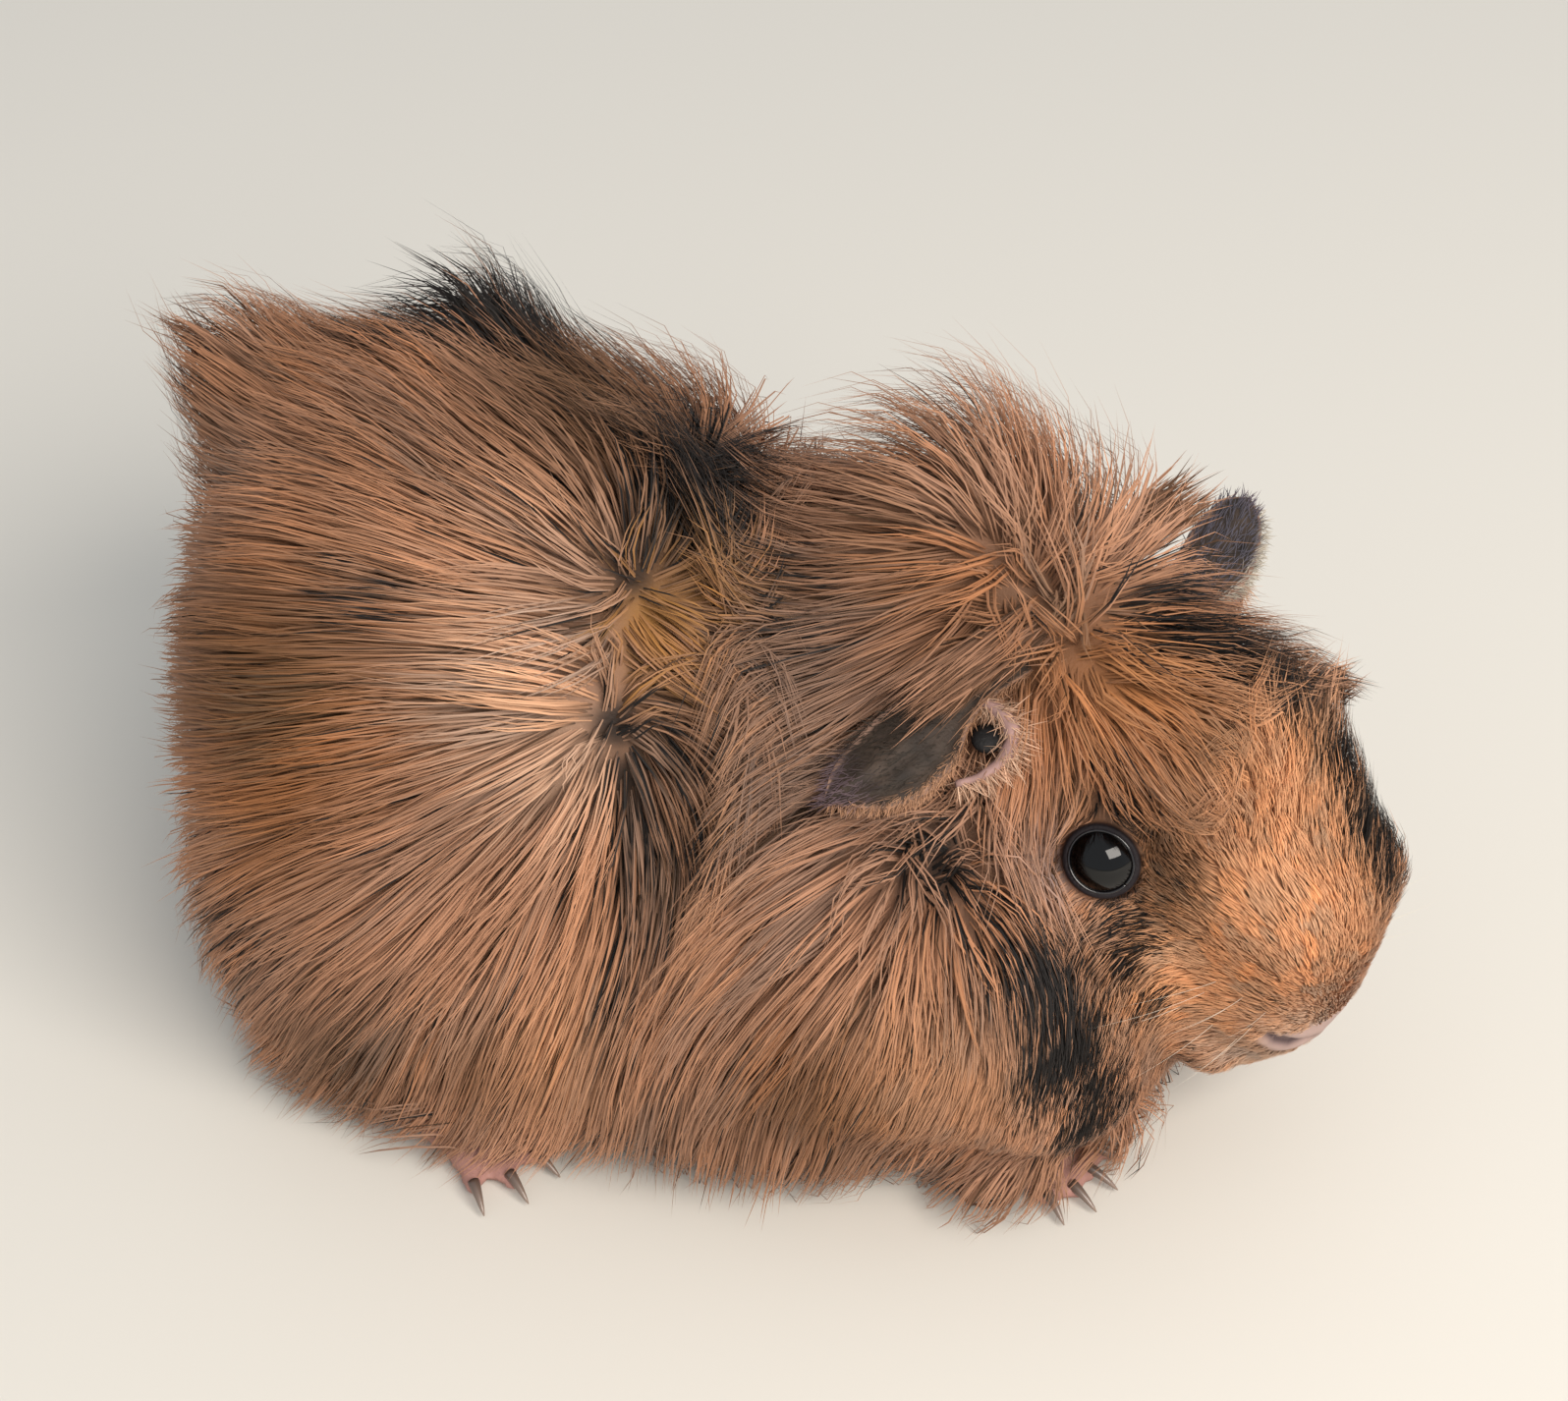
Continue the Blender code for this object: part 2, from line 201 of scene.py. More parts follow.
def normals_of(points, triangles):
    """Each point's normal, from the triangles that meet there."""
    a, b, c = (points[triangles[:, corner]] for corner in range(3))
    faces = np.cross(b - a, c - a)
    total = np.zeros_like(points)
    for axis in range(3):
        for corner in range(3):
            total[:, axis] += np.bincount(triangles[:, corner], faces[:, axis], len(points))
    return unit(total)


def relaxed(points, edges, amount, times, weight=None):
    """Each point moved toward the middle of its neighbours."""
    first, second = edges[:, 0], edges[:, 1]
    count = np.maximum(np.bincount(edges.ravel(), minlength=len(points)), 1)
    share = amount if weight is None else amount * weight[:, None]
    for _ in range(times):
        total = np.empty_like(points)
        for axis in range(3):
            total[:, axis] = np.bincount(first, points[second, axis], len(points))
            total[:, axis] += np.bincount(second, points[first, axis], len(points))
        points = points + (total / count[:, None] - points) * share
    return points


def remeshed(shape, voxel, name):
    """A bmesh's shapes fused into one skin of small squares."""
    mesh = bpy.data.meshes.new(name)
    shape.to_mesh(mesh)
    shape.free()
    whole = link(bpy.data.objects.new(name, mesh))
    fuse = whole.modifiers.new("fuse", "REMESH")
    fuse.mode = "VOXEL"
    fuse.voxel_size = voxel * MM
    graph = bpy.context.evaluated_depsgraph_get()
    made = bpy.data.meshes.new_from_object(whole.evaluated_get(graph))
    bpy.data.objects.remove(whole)
    bpy.data.meshes.remove(mesh)
    return made


def add_egg(shape, centre, radii, axes=None):
    """An egg shape added to a bmesh, in millimetres, turned to these axes."""
    turn = Matrix.Identity(4) if axes is None else Matrix(np.transpose(axes).tolist()).to_4x4()
    place = Matrix.Translation(Vector(centre) * MM) @ turn
    size = Matrix.Diagonal((*(Vector(radii) * MM), 1.0))
    bmesh.ops.create_uvsphere(shape, u_segments=32, v_segments=20, radius=1, matrix=place @ size)


# --- The head's own axes -----------------------------------------------------------------
def eye_centre(name):
    low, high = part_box(name)
    return np.array((low + high) / 2) / MM


def head_axes():
    """Forward along the muzzle, to its left, and up."""
    left = unit(eye_centre("eye_left") - eye_centre("eye_right"))
    level = np.array([left[1], -left[0], 0.0])
    forward = unit(level * math.cos(HEAD_DIP) - np.array([0, 0, math.sin(HEAD_DIP)]))
    return np.array([forward, left, np.cross(forward, left)])


HEAD_AXES = head_axes()
BROW_TO_EYES = (-1.8, 0.0, -3.5)  # from the head's own point to midway between the eyes
HEAD_MIDDLE = (eye_centre("eye_left") + eye_centre("eye_right")) / 2 - BROW_TO_EYES @ HEAD_AXES


def to_head(points):
    """Places as seen from the head's own point: forward, left, up."""
    return (np.asarray(points, float) - HEAD_MIDDLE) @ HEAD_AXES.T


def from_head(points):
    return np.asarray(points, float) @ HEAD_AXES + HEAD_MIDDLE


def head_way(vectors):
    return np.asarray(vectors, float) @ HEAD_AXES


def face_share(points):
    """1 on the short-haired face, falling to 0 at the ears and the throat."""
    q = to_head(points)
    return step(-17, 3, q[:, 0]) * step(-40, -29, q[:, 2])


# --- Feet --------------------------------------------------------------------------------
HIND_FOOT = {"sole": 24, "width": 6.0, "height": 7.0, "toe": 10, "toes": (-24, 0, 24)}
FORE_FOOT = {"sole": 12, "width": 5.0, "height": 6.0, "toe": 7.5, "toes": (-36, -12, 12, 36)}
# Each foot's kind, the place of its ball and its heading.
FOOT_PLACES = {
    "hind_foot_right": (HIND_FOOT, (-29.7, -38.7), -36),
    "hind_foot_left": (HIND_FOOT, (-29.7, 39.3), 33),
    "forefoot_right": (FORE_FOOT, (39.3, -19.7), -20),
    "forefoot_left": (FORE_FOOT, (40.3, 15.8), 4),
}


def foot_axes(heading):
    """Along a foot, to its left, and up."""
    turn = math.radians(heading)
    ahead = (math.cos(turn), math.sin(turn), 0)
    return np.array([ahead, (-ahead[1], ahead[0], 0), (0, 0, 1)])


def from_foot(name, point):
    """A place given from the ball of a foot: ahead, to its left, and up."""
    _, ball_place, heading = FOOT_PLACES[name]
    return np.array([*ball_place, 0.0]) + np.array(point, float) @ foot_axes(heading)


# --- The skin ----------------------------------------------------------------------------
def add_nodes(shape, names, swell):
    """Copies of these solids added to a bmesh, swollen so that the cuts between them close."""
    for name in names:
        piece = bmesh.new()
        piece.from_mesh(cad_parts[name].data)
        bmesh.ops.remove_doubles(piece, verts=piece.verts, dist=0.02 * MM)
        bmesh.ops.recalc_face_normals(piece, faces=piece.faces)
        piece.normal_update()
        for vert in piece.verts:
            vert.co += vert.normal * swell * MM
        passing = bpy.data.meshes.new(name)
        piece.to_mesh(passing)
        shape.from_mesh(passing)
        bpy.data.meshes.remove(passing)
        piece.free()


def coat_surface():
    """The outer surface of the coat, as one closed mesh."""
    shape = bmesh.new()
    add_nodes(shape, TRUNK + LEGS + HEAD, SOLIDS_SWELL)
    for name, (kind, _, heading) in FOOT_PLACES.items():
        ankle = from_foot(name, (-0.4 * kind["sole"], 0, kind["height"]))
        add_egg(shape, ankle, (0.75 * kind["sole"], 9, 7.5), foot_axes(heading))
    for name in EYES:
        add_egg(shape, eye_centre(name), (6.0, 6.0, 6.0))
    return remeshed(shape, COAT_SQUARE, "coat_surface")


def skin_depth(points):
    """How far the skin lies under the tips of the coat."""
    face = face_share(points)
    nose = step(20, 30, to_head(points)[:, 0]) * face
    return BODY_COAT + (FACE_COAT - BODY_COAT) * face - NOSE_COAT * nose


SINKING_ROUNDS = 14


def sunk(surface):
    """The coat's surface drawn in, step by step, to where the skin lies."""
    points, triangles, edges = points_of(surface), triangles_of(surface), edges_of(surface)
    stride = (skin_depth(points) / SINKING_ROUNDS)[:, None]
    soft = 1.0 - 0.8 * face_share(points)
    for _ in range(SINKING_ROUNDS):
        points = points - normals_of(points, triangles) * stride
        points = relaxed(points, edges, 0.5, 2, soft)
    set_points(surface, points)
    return surface


# Eggs that fill out the nose and lips, on the head: centre (ahead, left, up) and radii.
# Those off the middle are made on both sides.
NOSE_FORMS = {
    "tip": ((27.0, 0.0, -12.0), (3.4, 6.6, 4.0)),
    "wing": ((26.4, 5.2, -14.8), (3.8, 3.8, 3.4)),
    "under_nose": ((27.0, 0.0, -17.5), (3.2, 4.4, 3.8)),
    "whisker_pad": ((22.4, 8.6, -21.5), (5.0, 4.2, 4.6)),
    "upper_lip": ((25.2, 3.8, -21.5), (4.6, 4.0, 4.4)),
    "chin": ((19.6, 0.0, -27.0), (5.6, 5.2, 4.2)),
}


def skin_form(surface):
    """The bare body: the sunk surface with its feet, nose and lips."""
    shape = bmesh.new()
    shape.from_mesh(surface)
    add_nodes(shape, FEET, 0.0)
    for name, (kind, _, heading) in FOOT_PLACES.items():
        sole = kind["sole"]
        heel = from_foot(name, (-0.62 * sole, 0, kind["height"] * 0.9))
        add_egg(shape, heel, (0.38 * sole, 4.6, 7.5), foot_axes(heading))
        add_egg(shape, heel + (0, 0, 6.5), (0.36 * sole + 1.5, 6.5, 8.5), foot_axes(heading))
    for (ahead, left, up), radii in NOSE_FORMS.values():
        for side in (-1, 1) if left else (1,):
            add_egg(shape, from_head((ahead, side * left, up)), radii, HEAD_AXES)
    return remeshed(shape, SKIN_SQUARE, "skin")


def refined(mesh, inside):
    """Splits the squares where the test is true into four."""
    shape = bmesh.new()
    shape.from_mesh(mesh)
    shape.verts.ensure_lookup_table()
    chosen = inside(points_of(mesh))
    edges = [edge for edge in shape.edges if all(chosen[vert.index] for vert in edge.verts)]
    bmesh.ops.subdivide_edges(shape, edges=edges, cuts=1, use_grid_fill=True)
    shape.to_mesh(mesh)
    shape.free()
    mesh.update()
    return mesh


def gaze(side):
    """The way that an eye looks."""
    return unit(head_way((EYE_GAZE[0], side * EYE_GAZE[1], EYE_GAZE[2])))


def eye_axes(side):
    """Along an eye's opening, across it, and the way that it looks."""
    look = gaze(side)
    across = unit(np.cross(look, HEAD_AXES[0]))
    return np.array([np.cross(across, look), across, look])


def lid_turn(along):
    """How far the lids open from the gaze, wider toward the two corners of the eye."""
    return EYE_OPENING * (0.95 + 0.09 * along**2)


def eye_turn(points, name):
    """How far each place is from an eye and, in openings of its lids, from its gaze."""
    long, _, look = eye_axes(EYES[name])
    away = np.asarray(points, float) - eye_centre(name)
    far = np.linalg.norm(away, axis=-1)
    angle = np.arccos(np.clip(unit(away) @ look, -1, 1))
    along = unit(away) @ long / np.maximum(np.sin(angle), 0.05)
    return far, angle / lid_turn(along)


def open_lids(points):
    """Draws the skin into the socket and lays the lids over the eye."""
    for name in EYES:
        away = points - eye_centre(name)
        far, turn = eye_turn(points, name)
        inside = SOCKET + (EYE_RADIUS + LID_LIFT - SOCKET) * step(0.90, 1.02, turn)
        rim = inside + 0.12 * np.exp(-(((turn - 1.10) / 0.09) ** 2))
        keep = np.maximum(step(1.10, 1.85, turn), step(7.5, 12.0, far))
        near = far < 13
        wanted = rim + (np.maximum(far, 5.0) - rim) * keep
        points = np.where(near[:, None], eye_centre(name) + unit(away) * wanted[:, None], points)
    return points


def distance_from_line(points, line):
    """The distance of each point from a line through these places."""
    least = np.full(len(points), 1e9)
    for start, end in zip(line, line[1:]):
        run = end - start
        part = np.clip(((points - start) @ run) / (run @ run), 0, 1)
        least = np.minimum(least, np.linalg.norm(points - (start + part[:, None] * run), axis=1))
    return least


def surface_tree(points, triangles):
    return BVHTree.FromPolygons(points.tolist(), triangles.tolist())


def on_front(tree, places):
    """Places (left, up) of the head's front, moved back onto the skin."""
    found = []
    for left, up in places:
        hit = tree.ray_cast(Vector(from_head((60, left, up))), Vector(-HEAD_AXES[0]))[0]
        found.append(np.array(hit) if hit else from_head((25, left, up)))
    return found


def on_skin(tree, places):
    """Places given on the head, moved onto the skin."""
    return [np.array(tree.find_nearest(Vector(from_head(place)))[0]) for place in places]


# The nose on the head. The nostril's line and the pad are (ahead, left, up), and the
# lines on the front of the face are (left, up).
NOSTRIL = ((31.2, 4.0, -14.2), (30.2, 6.6, -13.7), (28.8, 8.6, -12.9), (27.2, 9.6, -12.2))
NOSE_PAD = (29.0, 0.0, -13.3)
PAD_RADII = (5.2, 10.4, 3.6)
FACE_MIDDLE = (6, 0, -8)
NOSE_MIDDLE = (27, 0, -16.5)
CLEFT = ((0.0, -16.8), (0.0, -24.0))
MOUTH = ((0.0, -24.0), (2.6, -25.3), (5.6, -25.6))
# How wide and deep each of these lines is pressed in.
NOSTRIL_CUT = (0.85, 0.8)
CLEFT_CUT = (0.6, 0.8)
MOUTH_CUT = (0.7, 0.9)


def distance_from_pad(points, wider=0.0):
    """How far each place is from the middle of the bare nose pad: 1 at its rim."""
    return np.linalg.norm((to_head(points) - NOSE_PAD) / np.add(PAD_RADII, wider), axis=1)


def face_lines(tree):
    """The nostrils, the cleft and the mouth, with the width and depth of each."""
    for side in (-1, 1):
        nostril = [(ahead, side * left, up) for ahead, left, up in NOSTRIL]
        yield on_skin(tree, nostril), *NOSTRIL_CUT
        yield on_front(tree, [(side * left, up) for left, up in MOUTH]), *MOUTH_CUT
    yield on_front(tree, CLEFT), *CLEFT_CUT


def press_face(points, triangles):
    """Presses the nostrils, cleft and mouth into the skin."""
    tree = surface_tree(points, triangles)
    normals = normals_of(points, triangles)
    for line, width, depth in face_lines(tree):
        away = distance_from_line(points, line)
        sink = depth * np.exp(-((away / width) ** 2))
        rim = 0.28 * depth * np.exp(-(((away - 2.0 * width) / width) ** 2))
        points = points + normals * (rim - sink)[:, None]
    return points


def on_face(points):
    """True on the face, where the skin is finer than on the body."""
    from_middle = np.linalg.norm(to_head(points) - FACE_MIDDLE, axis=1)
    return (from_middle < 28) & (face_share(points) > 0.45)


def on_features(points):
    """True round the eyes and on the nose, where the skin is finest."""
    from_eyes = np.minimum(*(eye_turn(points, name)[0] for name in EYES))
    from_nose = np.linalg.norm(to_head(points) - NOSE_MIDDLE, axis=1)
    return (from_eyes < 10.5) | (from_nose < 9.5)


def make_skin():
    """The bare skin, and the outer surface of the coat as a tree for ray casts."""
    coat = coat_surface()
    outer = surface_tree(points_of(coat), triangles_of(coat))
    mesh = skin_form(sunk(coat))
    points = relaxed(points_of(mesh), edges_of(mesh), 0.5, 3)
    points[:, 2] = np.maximum(points[:, 2], 0.0)
    set_points(mesh, points)
    refined(mesh, on_face)
    points = points_of(mesh)
    set_points(mesh, relaxed(points, edges_of(mesh), 0.5, 2, on_face(points) * 1.0))
    refined(mesh, on_features)
    points = points_of(mesh)
    detail = on_features(points) * 1.0
    points = relaxed(points, edges_of(mesh), 0.5, 2, detail)
    points = open_lids(points)
    points = press_face(points, triangles_of(mesh))
    points = relaxed(points, edges_of(mesh), 0.4, 1, detail)
    set_points(mesh, points)
    return mesh, outer


# --- Camera, light and floor -------------------------------------------------------------
TARGET = (-0.00075, 0.00481, 0.045)  # in metres, as is the distance
VIEW_AZIMUTH = math.radians(19)
VIEW_HEIGHT = math.radians(40)
VIEW_DISTANCE = 0.42
LENS = 75.8


def away_from(azimuth, height):
    """The way from the animal to a camera or lamp: azimuth from its right side, and height."""
    flat = math.cos(height)
    return Vector((math.sin(azimuth) * flat, -math.cos(azimuth) * flat, math.sin(height)))


def look_at(obj, place, target):
    obj.location = place
    obj.rotation_euler = (Vector(target) - Vector(place)).to_track_quat("-Z", "Y").to_euler()


def make_camera():
    """The camera looks down on the animal's right side."""
    lens = bpy.data.cameras.new("camera")
    lens.lens = LENS
    lens.sensor_width = 36
    lens.clip_start = 0.01
    camera = link(bpy.data.objects.new("camera", lens))
    place = Vector(TARGET) + away_from(VIEW_AZIMUTH, VIEW_HEIGHT) * VIEW_DISTANCE
    look_at(camera, place, TARGET)
    bpy.context.scene.camera = camera


def add_light(name, azimuth, height, distance, size, watts, colour):
    """A lit rectangle that faces the animal. Its angles are in degrees."""
    lamp = bpy.data.lights.new(name, "AREA")
    lamp.shape = "RECTANGLE"
    lamp.size, lamp.size_y = size
    lamp.energy = watts
    lamp.color = linear(colour)
    light = link(bpy.data.objects.new(name, lamp))
    place = Vector(TARGET) + away_from(math.radians(azimuth), math.radians(height)) * distance
    look_at(light, place, TARGET)


def make_studio():
    """A pale room, and one window ahead of the animal on its right."""
    world = bpy.data.worlds.new("studio")
    bpy.context.scene.world = world
    world.use_nodes = True
    sky = world.node_tree.nodes["Background"]
    sky.inputs["Color"].default_value = (*linear("#e9edf2"), 1)
    sky.inputs["Strength"].default_value = 0.72
    add_light("window", 52, 42, 0.9, (0.66, 0.42), 9.3, "#fff7ee")
    bpy.context.scene.view_settings.view_transform = "Standard"


def make_floor():
    """A wide pale table top, which isn't part of the model."""
    mesh = bpy.data.meshes.new("floor")
    shape = bmesh.new()
    bmesh.ops.create_grid(shape, x_segments=1, y_segments=1, size=2.5)
    shape.to_mesh(mesh)
    shape.free()
    floor = link(bpy.data.objects.new("floor", mesh))
    made, shader = new_material("floor", 0.75)  # matt board, which only takes the shadow
    shader.inputs["Base Color"].default_value = (*linear("#d9d5cc"), 1)
    mesh.materials.append(made)
    floor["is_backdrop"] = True


# --- Materials ---------------------------------------------------------------------------
SKIN_GRAINS = 2.6  # creases of the skin to a millimetre


def new_material(name, roughness):
    """A material of this roughness, and its shader."""
    made = bpy.data.materials.new(name)
    made.use_nodes = True
    shader = made.node_tree.nodes["Principled BSDF"]
    shader.inputs["Roughness"].default_value = roughness
    return made, shader


def add_node(tree, kind, **values):
    """A node with its settings, or its sockets' values where the name is a socket's."""
    node = tree.nodes.new(kind)
    for name, value in values.items():
        if hasattr(node, name):
            setattr(node, name, value)
        else:
            node.inputs[name.replace("_", " ")].default_value = value
    return node


def painted_material(name, roughness, shine, **finish):
    """A material that takes its colour from the painted points, with these other sockets."""
    made, shader = new_material(name, roughness)
    tree = made.node_tree
    colour = add_node(tree, "ShaderNodeVertexColor", layer_name=COAT_LAYER)
    tree.links.new(colour.outputs["Color"], shader.inputs["Base Color"])
    shader.inputs["Specular IOR Level"].default_value = shine
    for socket, value in finish.items():
        shader.inputs[socket.replace("_", " ")].default_value = value
    return made


def hair_material(name, sheen):
    """Dry, rough hair: matt along each lock, with a soft light at its edges."""
    return painted_material(name, 0.65, 0.28, Sheen_Weight=sheen, Sheen_Roughness=0.4)


def skin_material():
    """Bare skin: matt, with a fine grain of creases that breaks its shine."""
    made = painted_material("skin", 0.6, 0.25)
    tree = made.node_tree
    shader = tree.nodes["Principled BSDF"]
    place = add_node(tree, "ShaderNodeTexCoord")
    scale = SKIN_GRAINS / MM
    grain = add_node(tree, "ShaderNodeTexNoise", Scale=scale, Detail=3.0, Roughness=0.6)
    tree.links.new(place.outputs["Object"], grain.inputs["Vector"])
    bump = add_node(tree, "ShaderNodeBump", Strength=0.35, Distance=0.3 * MM)
    tree.links.new(grain.outputs["Fac"], bump.inputs["Height"])
    tree.links.new(bump.outputs["Normal"], shader.inputs["Normal"])
    return made


def cornea_material():
    """A wet eye: almost a mirror over black, with one sharp reflection."""
    return painted_material("wet_eye", 0.04, 0.38)


def wet_lid_material():
    """The lids' wet margins: skin under a film of tears, with small glints."""
    return painted_material("wet_lid", 0.18, 0.5, Coat_Weight=0.6, Coat_Roughness=0.03)


def horn_material():
    """Claw horn: worn smooth, with a low gloss."""
    return painted_material("horn", 0.32, 0.5, Coat_Weight=0.3, Coat_Roughness=0.03)


def whisker_material():
    """A whisker: stiff, smooth hair with more shine than the coat."""
    return painted_material("whisker", 0.35, 0.5)


def finished(name, mesh, material, slot, *replaced):
    """A mesh as a piece that rides on the body and hides the solids it stands for."""
    mesh.materials.append(material)
    obj = link(bpy.data.objects.new(name, mesh))
    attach(obj, "root")
    if replaced:
        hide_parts(*replaced)


# --- The lie of the coat -----------------------------------------------------------------
# Whorls: centre, reach, strength, swirl and the size of the tangled middle. Hair lies
# outward from each. Those of the trunk and head are on the right and repeat on the left.
TRUNK_WHORLS = {
    "upper_saddle": ((-14, -13, 75), 20, 1.6, 0.10, 2.5),
    "lower_saddle": ((-11, -26, 63), 22, 1.6, -0.10, 2.5),
}
HEAD_WHORLS = {
    "cheek": ((27, -22, 49), 13, 1.3, 0.30, 4.5),
    "eye": ((46.1, -14.9, 49.8), 7, 1.2, 0.0, 0),
}
MIDDLE_WHORLS = {
    "crown": ((33, 0.0, 72), 20, 1.1, 0.55, 9.0),
    "nose": ((74.4, -8.7, 27), 30, 3.0, 0.0, 0),
}
# Streams on the right, which repeat on the left: place, heading, reach and strength.
TRUNK_STREAMS = {
    "rump_side": ((-56, -24, 66), (-1.0, 0.0, -0.15), 18, 1.0),
    "rump_crest": ((-66, -3, 80), (-0.8, 0.25, 0.5), 12, 1.6),
    "rump_rear": ((-74, -8, 40), (-0.6, 0.0, -0.6), 18, 0.7),
    "saddle_side": ((-38, -28, 68), (-1.0, -0.15, -0.10), 15, 0.8),
    "flank_high": ((-40, -34, 54), (-0.95, -0.2, -0.35), 14, 1.0),
    "thigh": ((-37, -39, 40), (-0.75, -0.2, -0.65), 13, 1.2),
    "thigh_rear": ((-48, -38, 25), (-0.40, 0.0, -0.9), 13, 1.2),
    "thigh_low": ((-25, -39, 24), (-0.15, 0.0, -1.0), 12, 1.4),
    "flank": ((-18, -35, 42), (-0.45, -0.2, -0.85), 11, 1.2),
    "strip": ((-3, -27, 50), (0.12, -0.2, -1.0), 8, 1.9),
    "strip_low": ((2, -36, 24), (0.08, -0.2, -1.0), 9, 1.7),
    "strip_top": ((-8, -17, 71), (0.55, -0.5, -0.6), 5, 1.5),
    "mane_top": ((2, 2, 73), (-0.9, -0.35, 0.0), 12, 1.5),
    "mane_middle": ((7, -8, 68), (-0.9, -0.4, -0.2), 10, 1.4),
    "mane_side": ((9, -20, 57), (-0.75, -0.5, -0.45), 11, 1.6),
    "mane_low": ((12, -30, 42), (-0.60, -0.5, -0.65), 12, 1.5),
    "shoulder_low": ((16, -37, 20), (-0.15, -0.2, -1.0), 12, 1.3),
    "belly": ((-10, -10, 8), (-1.0, 0.0, 0.0), 14, 0.8),
}
HEAD_STREAMS = {
    "under_ear": ((18, -19, 55), (-0.70, -0.5, -0.5), 8, 1.2),
    "cheek_low": ((32, -31, 38), (0.20, -0.4, -0.9), 9, 1.2),
    "cheek_front": ((38, -25, 44), (0.75, -0.3, -0.6), 6, 1.2),
    "cheek_stripe": ((46, -29, 34), (0.40, -0.1, -0.9), 9, 1.5),
    "chest": ((45, -30, 16), (0.05, 0.2, -1.0), 13, 1.1),
    "jaw": ((54, -21, 30), (-0.45, -0.4, -0.75), 9, 1.2),
    "ear_front": ((38, -13, 58), (-0.15, -0.6, -0.75), 7, 1.8),
    "temple": ((36, -8, 63), (0.25, -0.6, -0.75), 7, 1.0),
    "brow": ((46, -8, 65), (0.75, -0.55, -0.40), 9, 1.5),
    "brow_low": ((55, -11, 63), (0.65, -0.55, -0.55), 6, 1.2),
    "forehead": ((52, 1, 68), (0.95, -0.1, -0.15), 9, 1.3),
    "brow_tuft": ((64, -2, 64), (-0.25, 0.2, 0.95), 6, 1.8),
}
EVERYWHERE = ((-1.0, 0.0, -0.35), 0.10)  # toward the rump, faintly
# Where the hair stands up from the body: place, reach and amount.
STANDING = (
    ((66, 8, 53), 8, 0.9),
    ((71, 7, 50), 5, 0.9),
    ((-66, 0, 80), 14, 1.0),
    ((-45, 4, 82), 14, 0.45),
    ((-16, 6, 78), 12, 0.55),
    ((26, 9, 80), 12, 0.70),
    ((36, 6, 75), 9, 0.50),
    ((0, 2, 72), 8, 0.40),
    ((65, 0, 64), 7, 1.0),
    ((50, 5, 68), 9, 0.60),
    ((-60, -30, 50), 18, 0.10),
)


ACROSS = (1, -1, 1)


def across_trunk(place):
    return np.array([place[0], 2 * MIDLINE - place[1], place[2]])


def across_head(place):
    return from_head(to_head(place) * ACROSS)


def turned_trunk(heading):
    return np.multiply(heading, ACROSS)


def turned_head(heading):
    return head_way((HEAD_AXES @ np.array(heading)) * ACROSS)


def both_sides():
    """Every whorl and stream, with those of the right side repeated on the left."""
    whorls, streams = list(MIDDLE_WHORLS.values()), []
    for table, across in ((TRUNK_WHORLS, across_trunk), (HEAD_WHORLS, across_head)):
        for centre, reach, strength, swirl, tangle in table.values():
            whorls.append((centre, reach, strength, swirl, tangle))
            whorls.append((across(centre), reach, strength, -swirl, tangle))
    for table, across, turned in (
        (TRUNK_STREAMS, across_trunk, turned_trunk),
        (HEAD_STREAMS, across_head, turned_head),
    ):
        for place, heading, reach, strength in table.values():
            streams.append((place, heading, reach, strength))
            streams.append((across(place), turned(heading), reach, strength))
    return whorls, streams


WHORLS, STREAMS = both_sides()


def lie(points, normals):
    """The way that the hair lies at each place, and how much its ways meet there."""
    toward, least = EVERYWHERE
    pull = np.zeros_like(points) + unit(np.array(toward)) * least
    weight = np.full(len(points), least)
    for centre, reach, strength, swirl, _ in WHORLS:
        away = points - np.array(centre, float)
        share = strength * fading(points, centre, reach)
        pull += unit(unit(away) + swirl * unit(np.cross(normals, away))) * share[:, None]
        weight += share
    for place, heading, reach, strength in STREAMS:
        share = strength * fading(points, place, reach)
        pull += unit(np.array(heading, float)) * share[:, None]
        weight += share
    pull -= normals * dots(pull, normals)
    size = np.linalg.norm(pull, axis=1)
    return unit(pull), 1 - np.clip(size / weight, 0, 1)


WHORL_MIDDLES = [(centre, tangle, 1.0) for centre, *_, tangle in WHORLS if tangle]


def whorl_share(points):
    """1 in the middle of a whorl, where the hair is short and stands every way."""
    return strongest(points, WHORL_MIDDLES)


# --- Colours -----------------------------------------------------------------------------
FAWN = linear("#aa7d61")
APRICOT = linear("#d49b70")
ORANGE = linear("#b87a48")
CREAM = linear("#cba98f")
RUST = linear("#764a22")
GOLD = linear("#a06f30")
UMBER = linear("#523a24")
TAUPE = linear("#715a4c")
BLACK = linear("#16110e")
BROWN = linear("#442c17")
MAUVE = linear("#8f7580")
ASH = linear("#94807a")
NOSE_SKIN = linear("#ab9189")
# Painted shade inside the nostrils, the cleft and the mouth.
CREASE_SHADE = linear("#3a2a30")
DARK_SKIN = linear("#1c1619")
PINK_SKIN = linear("#a77c72")
EAR_DARK = linear("#352a22")
EAR_RIM = linear("#8a6c5c")
EAR_PINK = linear("#967771")
# Painted shade in the ears' openings.
EAR_HOLE_SHADE = linear("#060404")
EYE_BLACK = linear("#030303")
EYE_BROWN = linear("#050404")
LID_MARGIN = linear("#120e10")
CLAW_HORN = linear("#4b3b34")
CLAW_TIP = linear("#8a776a")
WHISKER = linear("#d8cfbf")

# --- Markings ----------------------------------------------------------------------------

